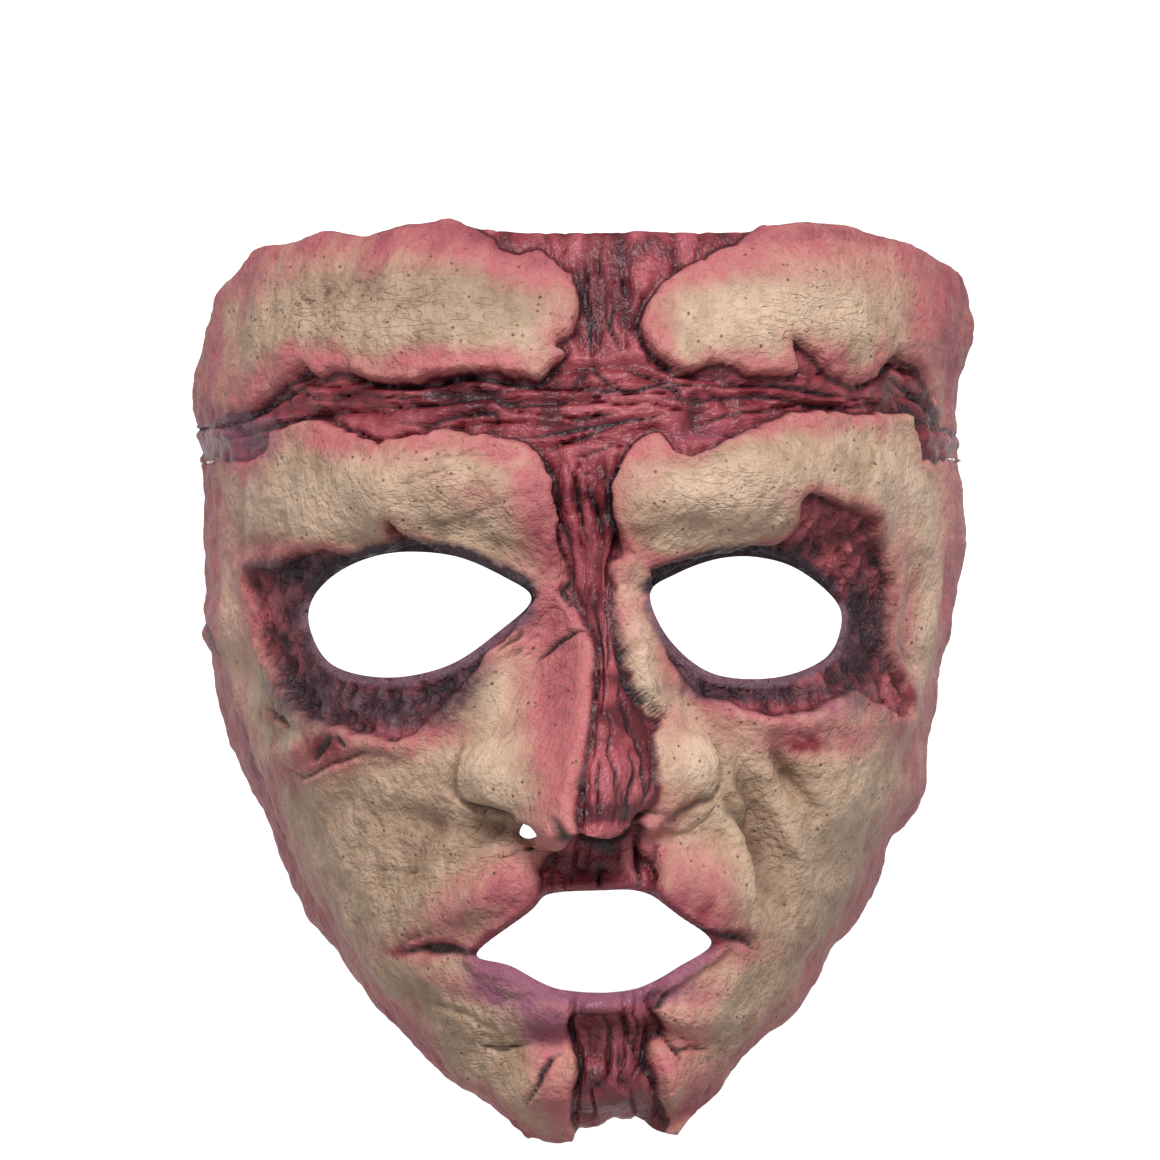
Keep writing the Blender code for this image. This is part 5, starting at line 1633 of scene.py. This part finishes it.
for side, name in ((-1.0, "left"), (1.0, "right")):
    legs, out = staple_legs(side)
    run_in = unit(legs[1] - legs[0])
    inside = LATEX_WALL + STRAP_THICKNESS + 3.0 * GAP + STAPLE_WIRE / 2.0
    outside = CLINCH_GAP + STAPLE_WIRE / 2.0
    corners = np.array(
        [
            legs[0] + out * outside + run_in * STAPLE_CLINCH, legs[0] + out * outside,
            legs[0] - out * inside, legs[1] - out * inside, legs[1] + out * outside,
            legs[1] + out * outside - run_in * STAPLE_CLINCH,
        ]
    )
    path = bent_wire(corners)
    heading = unit(np.gradient(path, axis=0))
    flat = unit(np.cross(run_in, out))
    sideways = np.cross(flat, heading)
    angle = np.linspace(0.0, 2.0 * np.pi, WIRE_SIDES, endpoint=False)[:, None]
    ring = np.cos(angle) * sideways[:, None] + np.sin(angle) * flat
    rings = path[:, None] + ring * STAPLE_WIRE / 2.0
    walked = np.concatenate([[0.0], np.cumsum(np.linalg.norm(np.diff(path, axis=0), axis=1))])
    places = np.broadcast_arrays(walked[:, None], angle[:, 0] * STAPLE_WIRE / 2.0)
    wire = new_object("wire_" + name, swept_mesh("wire_" + name, rings, np.stack(places, axis=-1)))
    wire.data.materials.append(staple_steel)
    wire.data.shade_smooth()
    wire.data.set_sharp_from_angle(angle=np.radians(50.0))
    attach(wire, "root")
    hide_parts("staple_" + name)


# Studio
# The mask floats over a wide pale floor that curves up into a low wall all round. One broad light
# comes from the front and above, a very soft one fills each side, and a pale room fills the shadows.
# The floor glows a little, so it stays near white behind the mask.
FLOOR_DROP = -0.36
FLOOR_RADIUS = 5.0
WALL_CURVE = 1.6
WALL_HEIGHT = 3.0
FLOOR_PALE = "#F6F6F6"
LAMP_WHITE = "#FFFFFF"
FLOOR_GLOW = 0.14
ROOM_GLOW = 0.38

turn = np.linspace(0.0, np.pi / 2.0, 13)
wall_foot = FLOOR_RADIUS + WALL_CURVE * np.sin(turn)
radius = np.concatenate([[0.001, 1.0], wall_foot, [FLOOR_RADIUS + WALL_CURVE]])
level = np.concatenate([[0.0, 0.0], WALL_CURVE * (1.0 - np.cos(turn)), [WALL_HEIGHT]]) + FLOOR_DROP
around = np.linspace(0.0, 2.0 * np.pi, 97)
points = np.stack(
    [
        radius[:, None] * np.cos(around), radius[:, None] * np.sin(around),
        level[:, None] * np.ones_like(around),
    ],
    axis=-1,
)
corner = np.arange(points.shape[0] * points.shape[1]).reshape(points.shape[:2])
faces = np.stack([corner[:-1, :-1], corner[1:, :-1], corner[1:, 1:], corner[:-1, 1:]], axis=-1)
floor_mesh = bpy.data.meshes.new("studio_floor")
floor_mesh.from_pydata(points.reshape(-1, 3).tolist(), [], faces.reshape(-1, 4).tolist())
floor_mesh.shade_smooth()
floor = new_object("studio_floor", floor_mesh)
floor.visible_diffuse = False
pale = bpy.data.materials.new("pale_floor")
pale.use_nodes = True
shader = pale.node_tree.nodes["Principled BSDF"]
shader.inputs["Base Color"].default_value = linear(FLOOR_PALE)
shader.inputs["Roughness"].default_value = 0.9
shader.inputs["Emission Color"].default_value = linear(LAMP_WHITE)
shader.inputs["Emission Strength"].default_value = FLOOR_GLOW
floor.data.materials.append(pale)
floor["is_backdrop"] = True

room = bpy.data.worlds.new("pale_room")
room.use_nodes = True
room.node_tree.nodes["Background"].inputs["Color"].default_value = linear(LAMP_WHITE)
room.node_tree.nodes["Background"].inputs["Strength"].default_value = ROOM_GLOW
bpy.context.scene.world = room
bpy.context.scene.view_settings.view_transform = "Standard"


def aim(place):
    """The turn that points a lamp from its place to the origin."""
    level = np.hypot(place[0], place[1])
    return (np.arctan2(level, place[2]), 0.0, np.arctan2(-place[1], -place[0]) - np.pi / 2.0)


# Lamps: name, the place that they shine from, strength, and how many degrees wide they are.
LAMPS = (
    ("broad_light", (0.10, -1.00, 0.95), 2.8, 20.0),
    ("side_fill", (-0.90, -0.60, 0.10), 0.40, 60.0),
    ("other_fill", (1.00, -0.60, -0.10), 0.45, 60.0),
)
for name, place, energy, spread in LAMPS:
    light = bpy.data.lights.new(name, "SUN")
    light.energy = energy
    light.angle = np.radians(spread)
    lamp = bpy.data.objects.new(name, light)
    lamp.location = place
    lamp.rotation_euler = aim(place)
    bpy.context.scene.collection.objects.link(lamp)

low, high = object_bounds()
